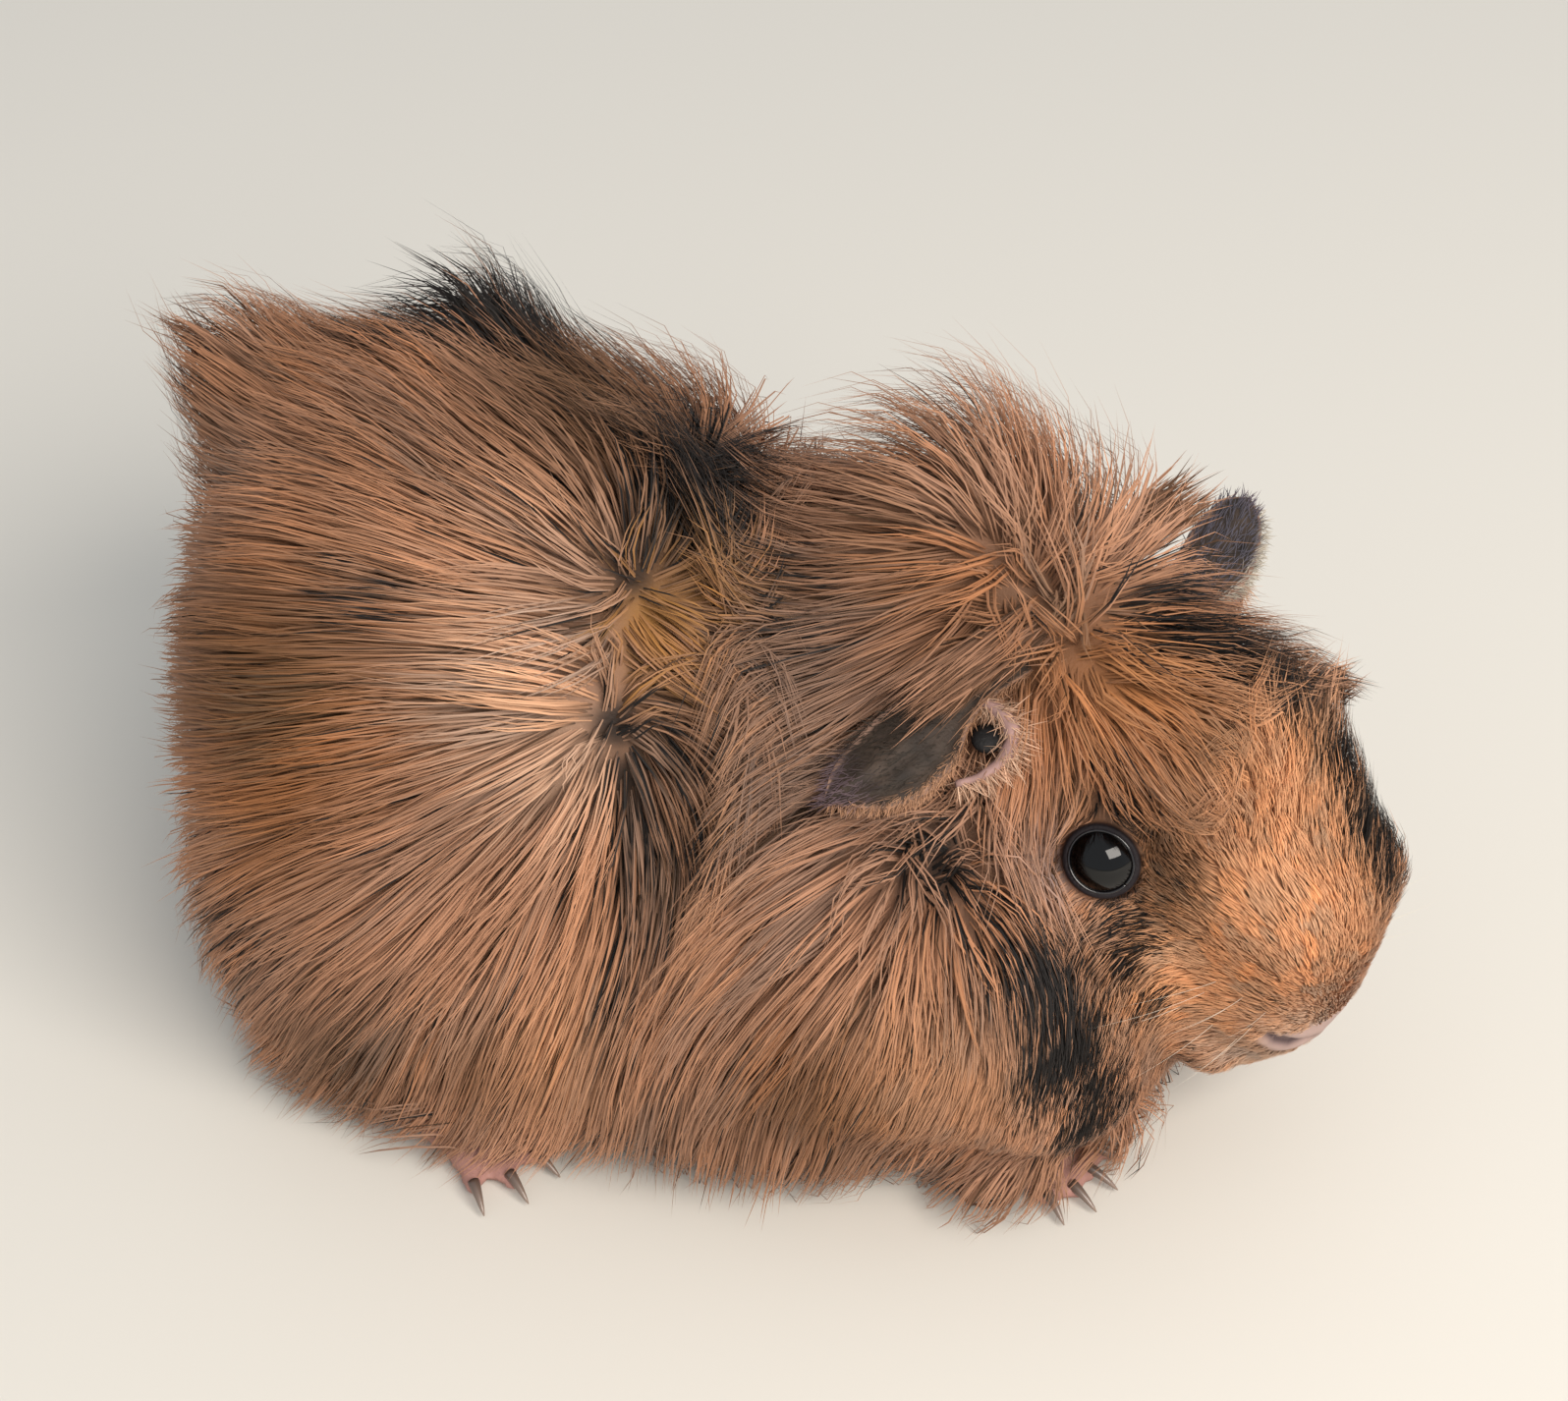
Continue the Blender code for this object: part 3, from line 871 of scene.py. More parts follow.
# Patches of colour: place, reach and strength. Later ones lie over earlier ones.
COLOUR_PATCHES = (
    # The rump and the thigh.
    (RUST, (-50, -10, 78), 18, 0.2),
    (RUST, (-48, -28, 62), 14, 0.9),
    (RUST, (-48, -36, 48), 12, 0.9),
    (UMBER, (-58, -28, 64), 8, 0.6),
    (UMBER, (-29, 8, 79), 13, 1.0),
    (UMBER, (-43, -40, 14), 9, 0.8),
    (UMBER, (-12, -5, 76), 10, 0.8),
    # The pale saddle, whose cream is partly painted sheen, and the flank.
    (CREAM, (-24, -26, 67), 9, 0.7),
    (CREAM, (-26, -13, 77), 7, 0.25),
    (CREAM, (-18, -31, 58), 7, 0.6),
    (FAWN, (-30, -38, 40), 14, 0.8),
    (APRICOT, (-14, -38, 24), 8, 0.5),
    (RUST, (-24, -38, 16), 8, 0.5),
    # The dark strip behind the shoulder, between gold and apricot edges: brown hair that is partly
    # painted shadow of the mane's edge.
    (BROWN, (-6, -23, 59), 6, 0.9),
    (BROWN, (-3, -27, 48), 7, 0.9),
    (GOLD, (-10, -16, 72), 4.5, 0.9),
    (GOLD, (-8, -19, 68), 4.0, 0.8),
    (GOLD, (-6, -9, 72), 4.0, 0.6),
    (APRICOT, (-1, -21, 59), 2.8, 0.8),
    (APRICOT, (1, -25, 51), 2.8, 0.9),
    (APRICOT, (3, -30, 44), 3.0, 0.9),
    (APRICOT, (5, -33, 37), 3.2, 0.9),
    # The shoulder and the mane.
    (FAWN, (2, -36, 26), 8, 0.7),
    (UMBER, (1, -12, 67), 8, 0.6),
    (TAUPE, (9, -12, 65), 11, 0.8),
    (TAUPE, (8, -21, 56), 9, 0.85),
    (FAWN, (9, -31, 42), 8, 0.7),
    (TAUPE, (16, -38, 22), 9, 0.5),
    (RUST, (21, -38, 25), 9, 0.7),
    (UMBER, (-66, 0, 82), 10, 0.35),
    # The crown, the cheeks and the face.
    (RUST, (20, 0, 76), 10, 0.7),
    (FAWN, (24, 9, 82), 9, 0.9),
    (RUST, (33, -2, 70), 9, 0.4),
    (ORANGE, (47, -6, 67), 10, 0.95),
    (FAWN, (25, -28, 44), 8, 0.5),
    (APRICOT, (33, -35, 30), 9, 0.4),
    (APRICOT, (66, -10, 46), 15, 1.0),
    (APRICOT, (58, -17, 35), 9, 0.9),
    (CREAM, (73, -13, 27), 6, 0.9),
    (CREAM, (65, -12, 22), 6, 0.8),
    (RUST, (58, -12, 64), 5, 0.6),
    (ASH, (41, -18, 49), 3.5, 0.9),
    (UMBER, (53, -17, 50), 4, 0.7),
    (APRICOT, (63, -6, 59), 8, 0.9),
    (BROWN, (53, -16.5, 56), 4.5, 0.75),
    (BROWN, (55, -17, 47), 4.5, 0.80),
)
# Black hairs: place, reach and the share of the hairs that are black there.
BLACK_PATCHES = (
    # The back, and the strip behind the shoulder, where the black is partly painted shadow of the
    # mane's edge.
    ((-11, 9, 77), 9, 0.95),
    ((-11, 2, 76), 9, 1.0),
    ((-27, 8, 78), 8, 0.3),
    ((-5, -23, 58), 5, 0.45),
    ((-2, -28, 46), 6, 0.50),
    ((3, -5, 69), 6, 0.55),
    ((6, -12, 65), 5, 0.35),
    # The far side of the rump: black hair, partly painted shade at the rump's edge.
    ((-50, 22, 80), 16, 1.0),
    ((-78, 12, 62), 16, 1.0),
    ((-76, 6, 40), 14, 0.8),
    ((-55, -38, 30), 7, 0.35),
    # The middles of the whorls and the locks round them.
    ((-14, -13, 75), 3.0, 0.8),
    ((-11, -26, 63), 3.2, 0.9),
    ((-43, -24, 73), 4.5, 0.55),
    ((-15, -9, 77), 5.0, 0.45),
    ((-13, 0, 78), 6.0, 0.70),
    ((-10, -28, 56), 3.4, 0.90),
    ((-9, -31, 47), 3.4, 0.90),
    ((-8, -33, 38), 3.2, 0.85),
    ((-7, -35, 29), 3.0, 0.70),
    # The cheek and its dark band.
    ((27, -22, 49), 5.5, 0.75),
    ((35, -25, 45), 4.0, 0.45),
    ((43, -29, 40), 5.8, 1.0),
    ((47, -30, 32), 5.8, 1.0),
    ((51, -28, 24), 5.2, 0.95),
    ((45, -32, 29), 5.0, 1.0),
    ((49, -29, 17), 5.0, 0.95),
    ((53, -25, 17), 4.0, 0.9),
    ((54, -20, 32), 3.2, 0.75),
    ((54.5, -17, 41), 2.6, 0.5),
    ((54.5, -16.5, 50), 3.0, 0.3),
    ((50, -19, 44), 3.6, 0.95),
    ((51, -21, 39), 3.8, 0.90),
    # Over the eye, and the far side of the forehead.
    ((46, -14, 57), 3.0, 0.5),
    ((50, -15, 58), 3.0, 0.80),
    ((46, 5, 69), 5.5, 0.7),
    ((54, 3, 67), 6.0, 0.85),
    ((61, 2, 65), 4.6, 0.95),
)


# The same, given on the head: forward, left and up.
HEAD_BLACK_PATCHES = (
    ((8, 11, 10), 6.0, 0.9),
    ((15, 12, 2), 7.0, 1.0),
    ((21, 11, -2), 5.0, 1.0),
    ((16.5, 8, 5.5), 4.0, 1.0),
    ((22, 7.5, 2), 3.5, 1.0),
    ((22, -10.5, -23.5), 2.2, 0.7),
    ((23, -10.5, -7), 1.6, 0.45),
    ((24.0, -8.5, -13.5), 1.0, 0.7),
)
LEAST_BLACK = 0.012


def markings(points):
    """The coat's colour at each place, and the share of its hairs that are black."""
    mottle = step(-0.9, 0.9, ripple(points, 22, 3))[:, None]
    colour = FAWN * (0.80 + 0.20 * mottle)
    for patch, place, reach, strength in COLOUR_PATCHES:
        colour = mixed(colour, patch, strength * fading(points, place, reach))
    on_head = [(from_head(place), *rest) for place, *rest in HEAD_BLACK_PATCHES]
    black = strongest(points, (*BLACK_PATCHES, *on_head), 4)
    return colour, np.maximum(black, LEAST_BLACK)


# --- The coat's length -------------------------------------------------------------------
# Shorter hair, on the right and the same on the left: place, reach and the share taken off.
SHORTER = (
    ((57, -1, 66), 10, 0.45),
    ((-7, -6, 73), 6, 0.35),
    ((-8, -19, 67), 7, 0.50),
    ((-5, -26, 54), 7, 0.45),
    ((0, -32, 38), 6, 0.30),
    ((46, -9, 65), 7, 0.40),
)
# Tufts of longer hair on the face, given on the head: place, reach and how much longer.
LONGER = (((-1, 5, 15), 6, 5.0), ((10, 9, 8), 6, 5.0), ((19, 11, 2), 6, 4.0))


def hair_length(points):
    """How long the hair is at each place."""
    q = to_head(points)
    face = face_share(points)
    length = 22.0 - 6.0 * step(30, 8, points[:, 2])
    length = length - 7.0 * whorl_share(points) - 6.0 * step(-36, -60, points[:, 0])
    short = 3.5 + 4.5 * step(14, 0, q[:, 0]) - 1.7 * step(22, 30, q[:, 0])
    mirrored = points * ACROSS + (0, 2 * MIDLINE, 0)
    near_side = np.where(points[:, 1:2] > MIDLINE, mirrored, points)
    for place, reach, less in SHORTER:
        length = length * (1 - less * fading(near_side, place, reach))
    for place, reach, more in LONGER:
        short = short + more * fading(q, place, reach)
    length = length * (1 - face) + short * face
    for name in EYES:
        far = np.linalg.norm(points - eye_centre(name), axis=1)
        length = length * (0.30 + 0.70 * step(6.0, 13.0, far))
    return length


# --- Growing the coat --------------------------------------------------------------------
COURSE = 6  # steps along each guide hair
SEED = 20
STIFFNESS = 0.45  # how far a hair keeps its way when the body turns under it
FAITH = 0.5  # how far a hair keeps to the lie at its root
RISE = 0.60  # how steeply hair leaves the skin, and how much more it does where it stands up
STANDING_RISE = 1.1
UNRULY = 0.12  # how far a hair strays at its root, and how much more in a whorl
WHORL_UNRULY = 0.5
GUIDES_IN_LOCK = 7
LOCKING = 0.30  # how far the guides of a lock come together at their tips
LOOK_OUT = 30  # how far the coat's surface is looked for above the skin
GROUND = 0.4  # how far the hair stays above the floor
SUNK_ROOT = 0.3  # how far a root goes into the skin
BEND = 0.020  # how far each tuft, and each wave of the coat, bends over its length
SWING = 0.04
WILD_LAYER = 0.16  # how much higher, longer and more bent the stray hairs are
WILD_REACH = 0.12
WILD_BEND = 0.6


def scattered(points, triangles, density, count, random):
    """Roots spread over the skin, as thickly as density says: places and normals."""
    a, b, c = (points[triangles[:, corner]] for corner in range(3))
    area = np.linalg.norm(np.cross(b - a, c - a), axis=1) / 2
    edges = np.cumsum(area * density((a + b + c) / 3))
    spots = (np.arange(count) + random.uniform(0, 1, count)) / count * edges[-1]
    chosen = np.minimum(np.searchsorted(edges, spots), len(triangles) - 1)
    s, t = random.uniform(0, 1, (2, count))
    over = s + t > 1
    s, t = np.where(over, 1 - s, s), np.where(over, 1 - t, t)
    normals = normals_of(points, triangles)
    na, nb, nc = (normals[triangles[chosen, corner]] for corner in range(3))
    s, t = s[:, None], t[:, None]
    places = a[chosen] + (b[chosen] - a[chosen]) * s + (c[chosen] - a[chosen]) * t
    order = random.permutation(count)
    return places[order], unit(na * (1 - s - t) + nb * s + nc * t)[order]


def nearest(tree, points):
    """The place on a surface that is nearest to each point, and the normal there."""
    found = [tree.find_nearest(point)[:2] for point in points.tolist()]
    places = np.array([tuple(place) for place, _ in found])
    return places, np.array([tuple(normal) for _, normal in found])


def depth_under(outer, points, normals):
    """How deep each place lies under the coat's outer surface."""
    depths = []
    for point, normal in zip(points.tolist(), normals.tolist()):
        far = outer.ray_cast(Vector(point), Vector(normal), LOOK_OUT)[3]
        depths.append(1.0 if far is None else far)
    return np.array(depths)


class Guides:
    """Courses over the skin that the tufts round them follow.

    A guide rises from its root into the coat's depth and bends along the lie of the hair. In
    a whorl, or where the ways of the hair meet, it stands up and wanders."""

    def __init__(self, roots, normals, skin, outer, random):
        count = len(roots)
        middle = whorl_share(roots)
        self.length = hair_length(roots) * random.uniform(0.88, 1.10, count)
        stride = (self.length / COURSE)[:, None]
        foot, normal, here = roots, normals, roots
        depth = depth_under(outer, foot, normal)
        first, crowd = lie(foot, normal)
        swirl = np.stack([ripple(roots, 5, seed) for seed in (71, 72, 73)], 1)
        wander = unit(swirl * 1.2 + random.normal(size=(count, 3)) * 0.6)
        face = face_share(roots)
        upright = strongest(roots, STANDING) + 0.5 * middle + 0.4 * crowd * (1 - face)
        unruly = UNRULY + WHORL_UNRULY * middle
        unruly = unruly[:, None] * random.normal(size=(count, 3))
        tangle = unit(first + wander * middle[:, None] + unruly)
        flat = 0.35 * step(16, 24, to_head(roots)[:, 0]) * face
        way = unit(tangle + normal * (RISE - flat + STANDING_RISE * upright)[:, None])
        places, ways, heights = [here], [normal], [np.zeros(count)]
        for stop in range(COURSE):
            part = (stop + 1) / COURSE
            height = np.clip(depth, 0.15 * self.length, 0.40 * self.length)
            goal = height * (1 - (1 - part) ** 2.0) * (0.90 + 0.5 * upright)
            climb = (goal - heights[-1]) / stride[:, 0]
            flow = lie(foot, normal)[0] * (1 - FAITH) + first * FAITH
            loose = np.minimum(1.2 * whorl_share(foot), 1)[:, None]
            flow = unit(flow * (1 - loose) + wander * loose)
            turned = unit(flow + normal * np.clip(climb, -0.8, 1.2)[:, None])
            keep = np.clip(STIFFNESS + 0.25 * upright, 0, 0.85)[:, None]
            way = unit(way * keep + turned * (1 - keep))
            here = here + way * stride
            foot, under = nearest(skin, here)
            normal = unit(normal * 0.6 + under)
            depth = depth_under(outer, foot, normal)
            places.append(here)
            ways.append(normal)
            heights.append(np.maximum(dots(here - foot, normal)[:, 0], 0))
        self.places, self.normals = np.stack(places, 1), np.stack(ways, 1)
        self.heights = np.stack(heights, 1)
        self.lock = self.gathered(count // GUIDES_IN_LOCK)
        self.tree = tree_of(roots)

    def gathered(self, count):
        """Draws the guides' tips together into locks. It gives each guide's lock."""
        locks = tree_of(self.places[:count, 0])
        lock = np.array([locks.find(point)[1] for point in self.places[:, 0].tolist()])
        part = (np.linspace(0, 1, COURSE + 1) ** 1.3)[None, :, None]
        self.places += (self.places[lock] - self.places) * part * LOCKING
        return lock

    def near(self, points):
        """The guide that each of these roots follows."""
        return np.array([self.tree.find(point)[1] for point in points.tolist()])

    def at(self, guide, part):
        """The place, normal and height at this part of each guide's course."""
        spot = np.clip(part * COURSE, 0, COURSE - 1e-6)
        low = spot.astype(int)
        mix = (spot - low)[:, None]
        place = mixed(self.places[guide, low], self.places[guide, low + 1], mix)
        beyond = np.maximum(part - 1, 0)[:, None]
        place += (self.places[guide, COURSE] - self.places[guide, COURSE - 1]) * beyond * COURSE
        normal = mixed(self.normals[guide, low], self.normals[guide, low + 1], mix)
        heights = self.heights[..., None]
        return place, unit(normal), mixed(heights[guide, low], heights[guide, low + 1], mix)


def tree_of(points):
    """These points, ready to be asked for the nearest."""
    tree = KDTree(len(points))
    for index, point in enumerate(points.tolist()):
        tree.insert(point, index)
    tree.balance()
    return tree


CHART_ENDS = ((-85, -60, 0), (90, 55, 95))  # the room that the charts cover
TUFT_PATCH = 0.003  # side of each tuft's patch on the charts


def unwrapped(points, normals):
    """Each root's place on the skin opened out flat onto six charts, one for each side."""
    axis = np.argmax(np.abs(normals), axis=1)
    rows = np.arange(len(points))
    chart = axis * 2 + (normals[rows, axis] > 0)
    low, high = np.array(CHART_ENDS)
    part = np.clip((points - low) / (high - low), 0, 1)
    first, second = np.array((1, 0, 0))[axis], np.array((2, 2, 1))[axis]
    u = (chart % 3 + 0.02 + 0.95 * part[rows, first]) / 3
    v = (chart // 3 + 0.02 + 0.95 * part[rows, second]) / 2
    return np.stack([u, v], 1)


# A tuft's width at each ring below its tip, as a share of its full width.
TAPERS = {3: (0.9, 0.85), 4: (0.8, 1.0, 0.72)}
THICKNESS = 0.3  # of a tuft, as a share of its width
LEANING = 0.40  # how far a tuft's shading turns toward its sides


def tuft_faces(stops):
    """The faces of one tuft, and which of them lie underneath."""
    faces, under = [(2, 1, 0)], [True]
    for ring in range(stops - 2):
        low, high = 3 * ring, 3 * ring + 3
        faces += [(low + j, low + (j + 1) % 3, high + (j + 1) % 3, high + j) for j in range(3)]
        under += [False, False, True]
    last, tip = 3 * (stops - 2), 3 * (stops - 1)
    faces += [(last + j, last + (j + 1) % 3, tip) for j in range(3)]
    return faces, under + [False, False, True]


def around_and_tip(left, middle, right, tip):
    """Values for the three corners of each ring and for the tip, as one row a tuft."""
    loops = np.stack([left, middle, right], 2)
    return np.concatenate([loops.reshape(len(loops), -1, 3), tip[:, -1:]], 1)


def tuft_mesh(name, rings, tops, width, colours, patch):
    """Tapered three-sided tufts as one mesh. rings are each tuft's places, root to tip.

    The normals are those of a round lock of hair, so that the flat sides don't show."""
    count, stops = rings.shape[:2]
    run = np.empty_like(rings)
    run[:, 1:-1] = rings[:, 2:] - rings[:, :-2]
    run[:, 0] = rings[:, 1] - rings[:, 0]
    run[:, -1] = rings[:, -1] - rings[:, -2]
    run = unit(run)
    side = unit(np.cross(run, tops))
    top = np.cross(side, run)
    taper = np.array(TAPERS[stops])[None, :, None]
    half = side[:, :-1] * (0.5 * width[:, None, None] * taper)
    lift = top[:, :-1] * (width[:, None, None] * THICKNESS * taper)
    body = rings[:, :-1]
    points = around_and_tip(body - half, body + lift, body + half, rings)
    facing = unit(top * 0.6 + tops * 0.5)
    leaning = [unit(facing + side * lean)[:, :-1] for lean in (-LEANING, 0, LEANING)]
    shading = around_and_tip(*leaning, facing)
    each = points.shape[1]
    faces, under = tuft_faces(stops)
    pattern = np.array([corner for face in faces for corner in face])
    below = np.array([below for face, below in zip(faces, under) for _ in face])
    stop = np.minimum(np.arange(each) // 3, stops - 1)
    shading = np.where(below[None, :, None], -facing[:, stop[pattern]], shading[:, pattern])
    starts = np.cumsum([0] + [len(face) for face in faces[:-1]])
    offsets = np.arange(count)[:, None]
    corners = (pattern[None] + offsets * each).ravel()
    begins = (starts[None] + offsets * len(pattern)).ravel()
    mesh = bpy.data.meshes.new(name)
    mesh.vertices.add(count * each)
    mesh.vertices.foreach_set("co", (points * MM).astype(np.float32).ravel())
    mesh.loops.add(len(corners))
    mesh.loops.foreach_set("vertex_index", corners.astype(np.int32))
    mesh.polygons.add(count * len(faces))
    mesh.polygons.foreach_set("loop_start", begins.astype(np.int32))
    mesh.update(calc_edges=True)
    mesh.shade_smooth()
    mesh.normals_split_custom_set(shading.reshape(-1, 3).astype(np.float32))
    paint(mesh, colours[:, stop].reshape(-1, 3))
    spread = np.stack([(np.arange(each) % 3) / 2, stop / (stops - 1)], 1) * TUFT_PATCH
    flat = (patch[:, None] + spread[None])[:, pattern]
    mesh.uv_layers.new(name="OFBake").data.foreach_set("uv", flat.astype(np.float32).ravel())
    return mesh


def grown(name, roots, normals, guides, random, kind, material):
    """Tufts of one kind from these roots, made as one finished piece."""
    count, stops = len(roots), kind["stops"]
    guide = guides.near(roots)
    offset = roots - guides.places[guide, 0]
    wild = random.uniform(0, 1, count) < kind["wild"]
    low, high = kind["layer"]
    layer = low + (high - low) * random.uniform(0, 1, count) ** 0.8
    layer = np.where(wild, 1.0 + WILD_LAYER * random.uniform(0, 1, count), layer)
    reach = random.uniform(*kind["reach"], count) + WILD_REACH * wild
    clumped = kind["clump"] * random.uniform(0.7, 1.15, count)
    length = guides.length[guide][:, None]
    bend = random.normal(size=(count, 3)) * BEND * (1 + WILD_BEND * wild)[:, None] * length
    swing = ripple(guides.places[guide, 0], 8, 5)[:, None] * length * SWING
    rings, tops, grounds = [roots - normals * SUNK_ROOT], [], []
    for stop in range(stops):
        part = stop / (stops - 1)
        place, normal, height = guides.at(guide, reach * part)
        grounds.append(place + offset - normal * height)
        tops.append(normal)
        if stop:
            held = (1 - clumped * part**0.9)[:, None]
            across = unit(np.cross(normal, guides.places[guide, 1] - guides.places[guide, 0]))
            spot = place + offset * held + normal * height * (layer - 1)[:, None]
            rings.append(spot + bend * part**1.5 + across * swing * part**2)
    rings, tops = np.stack(rings, 1), np.stack(tops, 1)
    rings[:, :, 2] = np.maximum(rings[:, :, 2], GROUND)
    colours = hair_colours(grounds, guide, guides, random, layer)
    width = kind["width"] * random.uniform(0.8, 1.2, count) * np.where(wild, 0.6, 1.0)
    kept = clear_of_eyes(rings)
    patch = unwrapped(roots, normals)
    mesh = tuft_mesh(name, rings[kept], tops[kept], width[kept], colours[kept], patch[kept])
    finished(name, mesh, material, "coat")


def clear_of_eyes(rings):
    """False for each tuft that would cross an eye."""
    kept = np.ones(len(rings), bool)
    for name, side in EYES.items():
        away = rings - eye_centre(name)
        ahead = away @ gaze(side)
        aside = np.linalg.norm(away - ahead[..., None] * gaze(side), axis=2)
        crossing = (ahead > 0) & (ahead < 14) & (aside < 4.1 + 0.20 * ahead)
        kept &= ~crossing.any(axis=1)
    return kept


# How much hairs differ in lightness: with their lock, their guide, each hair and the place. With
# the lock and guide it is partly their own tone and partly painted shade between locks.
LOCK_SHADE = 0.06
GUIDE_SHADE = 0.04
HAIR_SHADE = 0.04
PLACE_SHADE = 0.06
LOCK_WARMTH = np.array((0.05, 0.0, -0.06))  # some locks are warmer and others cooler
EDGE_BLUR = 1.2  # how far hairs of one patch stand among those of the next
EDGE_DRIFT = 2.6  # the same along the hair
# Hairs are darker at the root, and less so on the face: painted shade deep in the coat.
PAINTED_ROOT_SHADE = 0.78  # how dark a hair is at its root, on the body, and how much less on the face
FACE_ROOT = 0.13


def hair_colours(grounds, guide, guides, random, layer):
    """Each tuft's colour at its stops: brindled, with painted shade that darkens the roots and the
    lower layers of the coat.
    """
    roots, count, stops = grounds[0], len(guide), len(grounds)
    face = face_share(roots)
    tones = np.random.default_rng(SEED + 7).normal(size=(2, len(guides.length)))
    lock, tone = tones[0][guides.lock[guide]], tones[1][guide]
    each, chance = random.normal(size=count), random.uniform(0, 1, count)
    spread = 1 - 0.4 * face
    # Partly each hair's own tone, and partly painted shade between the locks.
    shade = LOCK_SHADE * lock + GUIDE_SHADE * tone + HAIR_SHADE * each
    shade = shade + PLACE_SHADE * ripple(roots, 11, 11)
    shade = np.exp(spread * shade)[:, None] * (1 + lock[:, None] * LOCK_WARMTH)
    aside = random.normal(size=(count, 3)) * EDGE_BLUR
    drift = unit(grounds[-1] - roots) * random.normal(size=(count, 1)) * EDGE_DRIFT
    aside = aside + drift * spread[:, None]
    colours = []
    for stop, ground in enumerate(grounds):
        part = stop / (stops - 1)
        colour, black = markings(ground + aside)
        colour = colour * shade
        mix = np.clip(0.5 + 0.5 * (black - 0.5) + 0.10 * lock + 0.10 * tone, 0, 1)
        brown = (chance > 0.5) & (chance < 0.53 + 0.5 * np.clip(black - 0.15, 0, 0.5))
        colour = np.where(brown[:, None], BROWN * shade, colour)
        dark = chance < black * (0.6 + 0.8 * mix)
        colour = np.where(dark[:, None], BLACK * np.exp(0.35 * each)[:, None], colour)
        # Painted shade: darker toward the root and in the lower layers of the coat, and a little
        # lighter toward the tip.
        root = PAINTED_ROOT_SHADE + FACE_ROOT * face
        along = root + (1.0 - root) * step(0.0, 0.40, part)
        deep = 0.90 + 0.10 * step(0.35, 0.9, layer)
        colours.append(colour * (along * deep * (1 + 0.10 * part))[:, None])
    return np.clip(np.stack(colours, 1), 0.002, 1)


def bare(points):
    """0 where no hair grows: eyes, nostrils and soles."""
    allowed = np.ones(len(points))
    for name in EYES:
        far, turn = eye_turn(points, name)
        allowed *= 1 - (far < 8.5) * (turn < 1.03)
    allowed *= step(0.90, 1.10, distance_from_pad(points))
    allowed *= step(2.5, 6.5, points[:, 2])
    return allowed


# Kinds of hair. Rings to a tuft; its width; how high it lies between the skin and the tips
# of the coat; how far it follows its guide; how far it clumps; and the share of stray hairs.
LONG_HAIR = {
    "stops": 4,
    "width": 0.25,
    "layer": (0.45, 1.04),
    "reach": (0.75, 1.12),
    "clump": 0.30,
    "wild": 0.08,
}
UNDERCOAT = {
    "stops": 3,
    "width": 0.34,
    "layer": (0.25, 0.75),
    "reach": (0.45, 0.85),
    "clump": 0.25,
    "wild": 0.0,
}
FACE_FUR = {
    "stops": 3,
    "width": 0.18,
    "layer": (0.45, 1.05),
    "reach": (0.75, 1.12),
    "clump": 0.20,
    "wild": 0.03,
}
# Name, where it grows, how many pieces it is made in, tufts in all and kind.
COAT_PIECES = (
    ("coat", "body", 6, 52500, LONG_HAIR),
    ("undercoat", "body", 1, 18000, UNDERCOAT),
    ("face_fur", "face", 3, 40000, FACE_FUR),
)
GUIDES = {"body": 11000, "face": 8000}


def body_density(points):
    """How thickly tufts stand on the body: closer where the hair is short."""
    under_belly = 1 - 0.65 * step(14, 8, points[:, 2])
    return bare(points) * (1 - face_share(points)) * under_belly / hair_length(points)


def face_density(points):
    """The same on the face."""
    return bare(points) * face_share(points) / hair_length(points)


def grow_coat(points, triangles, outer):
    """The coat of the body and face, in pieces that share their guides."""
    skin = surface_tree(points, triangles)
    random = np.random.default_rng(SEED)
    densities = {"body": body_density, "face": face_density}
    guides = {}
    for part, density in densities.items():
        roots, normals = scattered(points, triangles, density, GUIDES[part], random)
        guides[part] = Guides(roots, normals, skin, outer, random)
    material = hair_material("coat", 0.05)
    for name, part, pieces, count, kind in COAT_PIECES:
        roots, normals = scattered(points, triangles, densities[part], count, random)
        for piece in range(pieces):
            mine = slice(piece, None, pieces)
            rooted = roots[mine], normals[mine], guides[part]
            grown(f"{name}_{piece + 1}", *rooted, random, kind, material)


def skin_colours(points, tree):
    """The skin carries the coat's markings, darkened by painted shade under the hair and in the
    whorls' middles, with bare nose, lids and feet.
    """
    colour, black = markings(points)
    # Painted shade: darker under the hair, less so on the face, and darker still where the whorls
    # part.
    shade_under_hair = 0.76 + 0.12 * face_share(points)[:, None]
    colour = mixed(colour, BLACK, np.clip(black, 0, 1)) * shade_under_hair
    colour = colour * (1 - 0.3 * whorl_share(points)[:, None])
    colour = mixed(colour, NOSE_SKIN, step(1.2, 0.8, distance_from_pad(points, 0.4)))
    # Painted shade along the nostrils, the cleft and the mouth, where they are pressed in.
    for line, width, _ in face_lines(tree):
        dark = 0.9 * np.exp(-((distance_from_line(points, line) / (0.9 * width)) ** 2))
        colour = mixed(colour, CREASE_SHADE, dark)
    colour = mixed(colour, PINK_SKIN, step(9, 5, points[:, 2]))
    for name in EYES:
        far, turn = eye_turn(points, name)
        colour = mixed(colour, DARK_SKIN, step(8.0, 7.0, far) * step(1.30, 1.10, turn))
    return colour


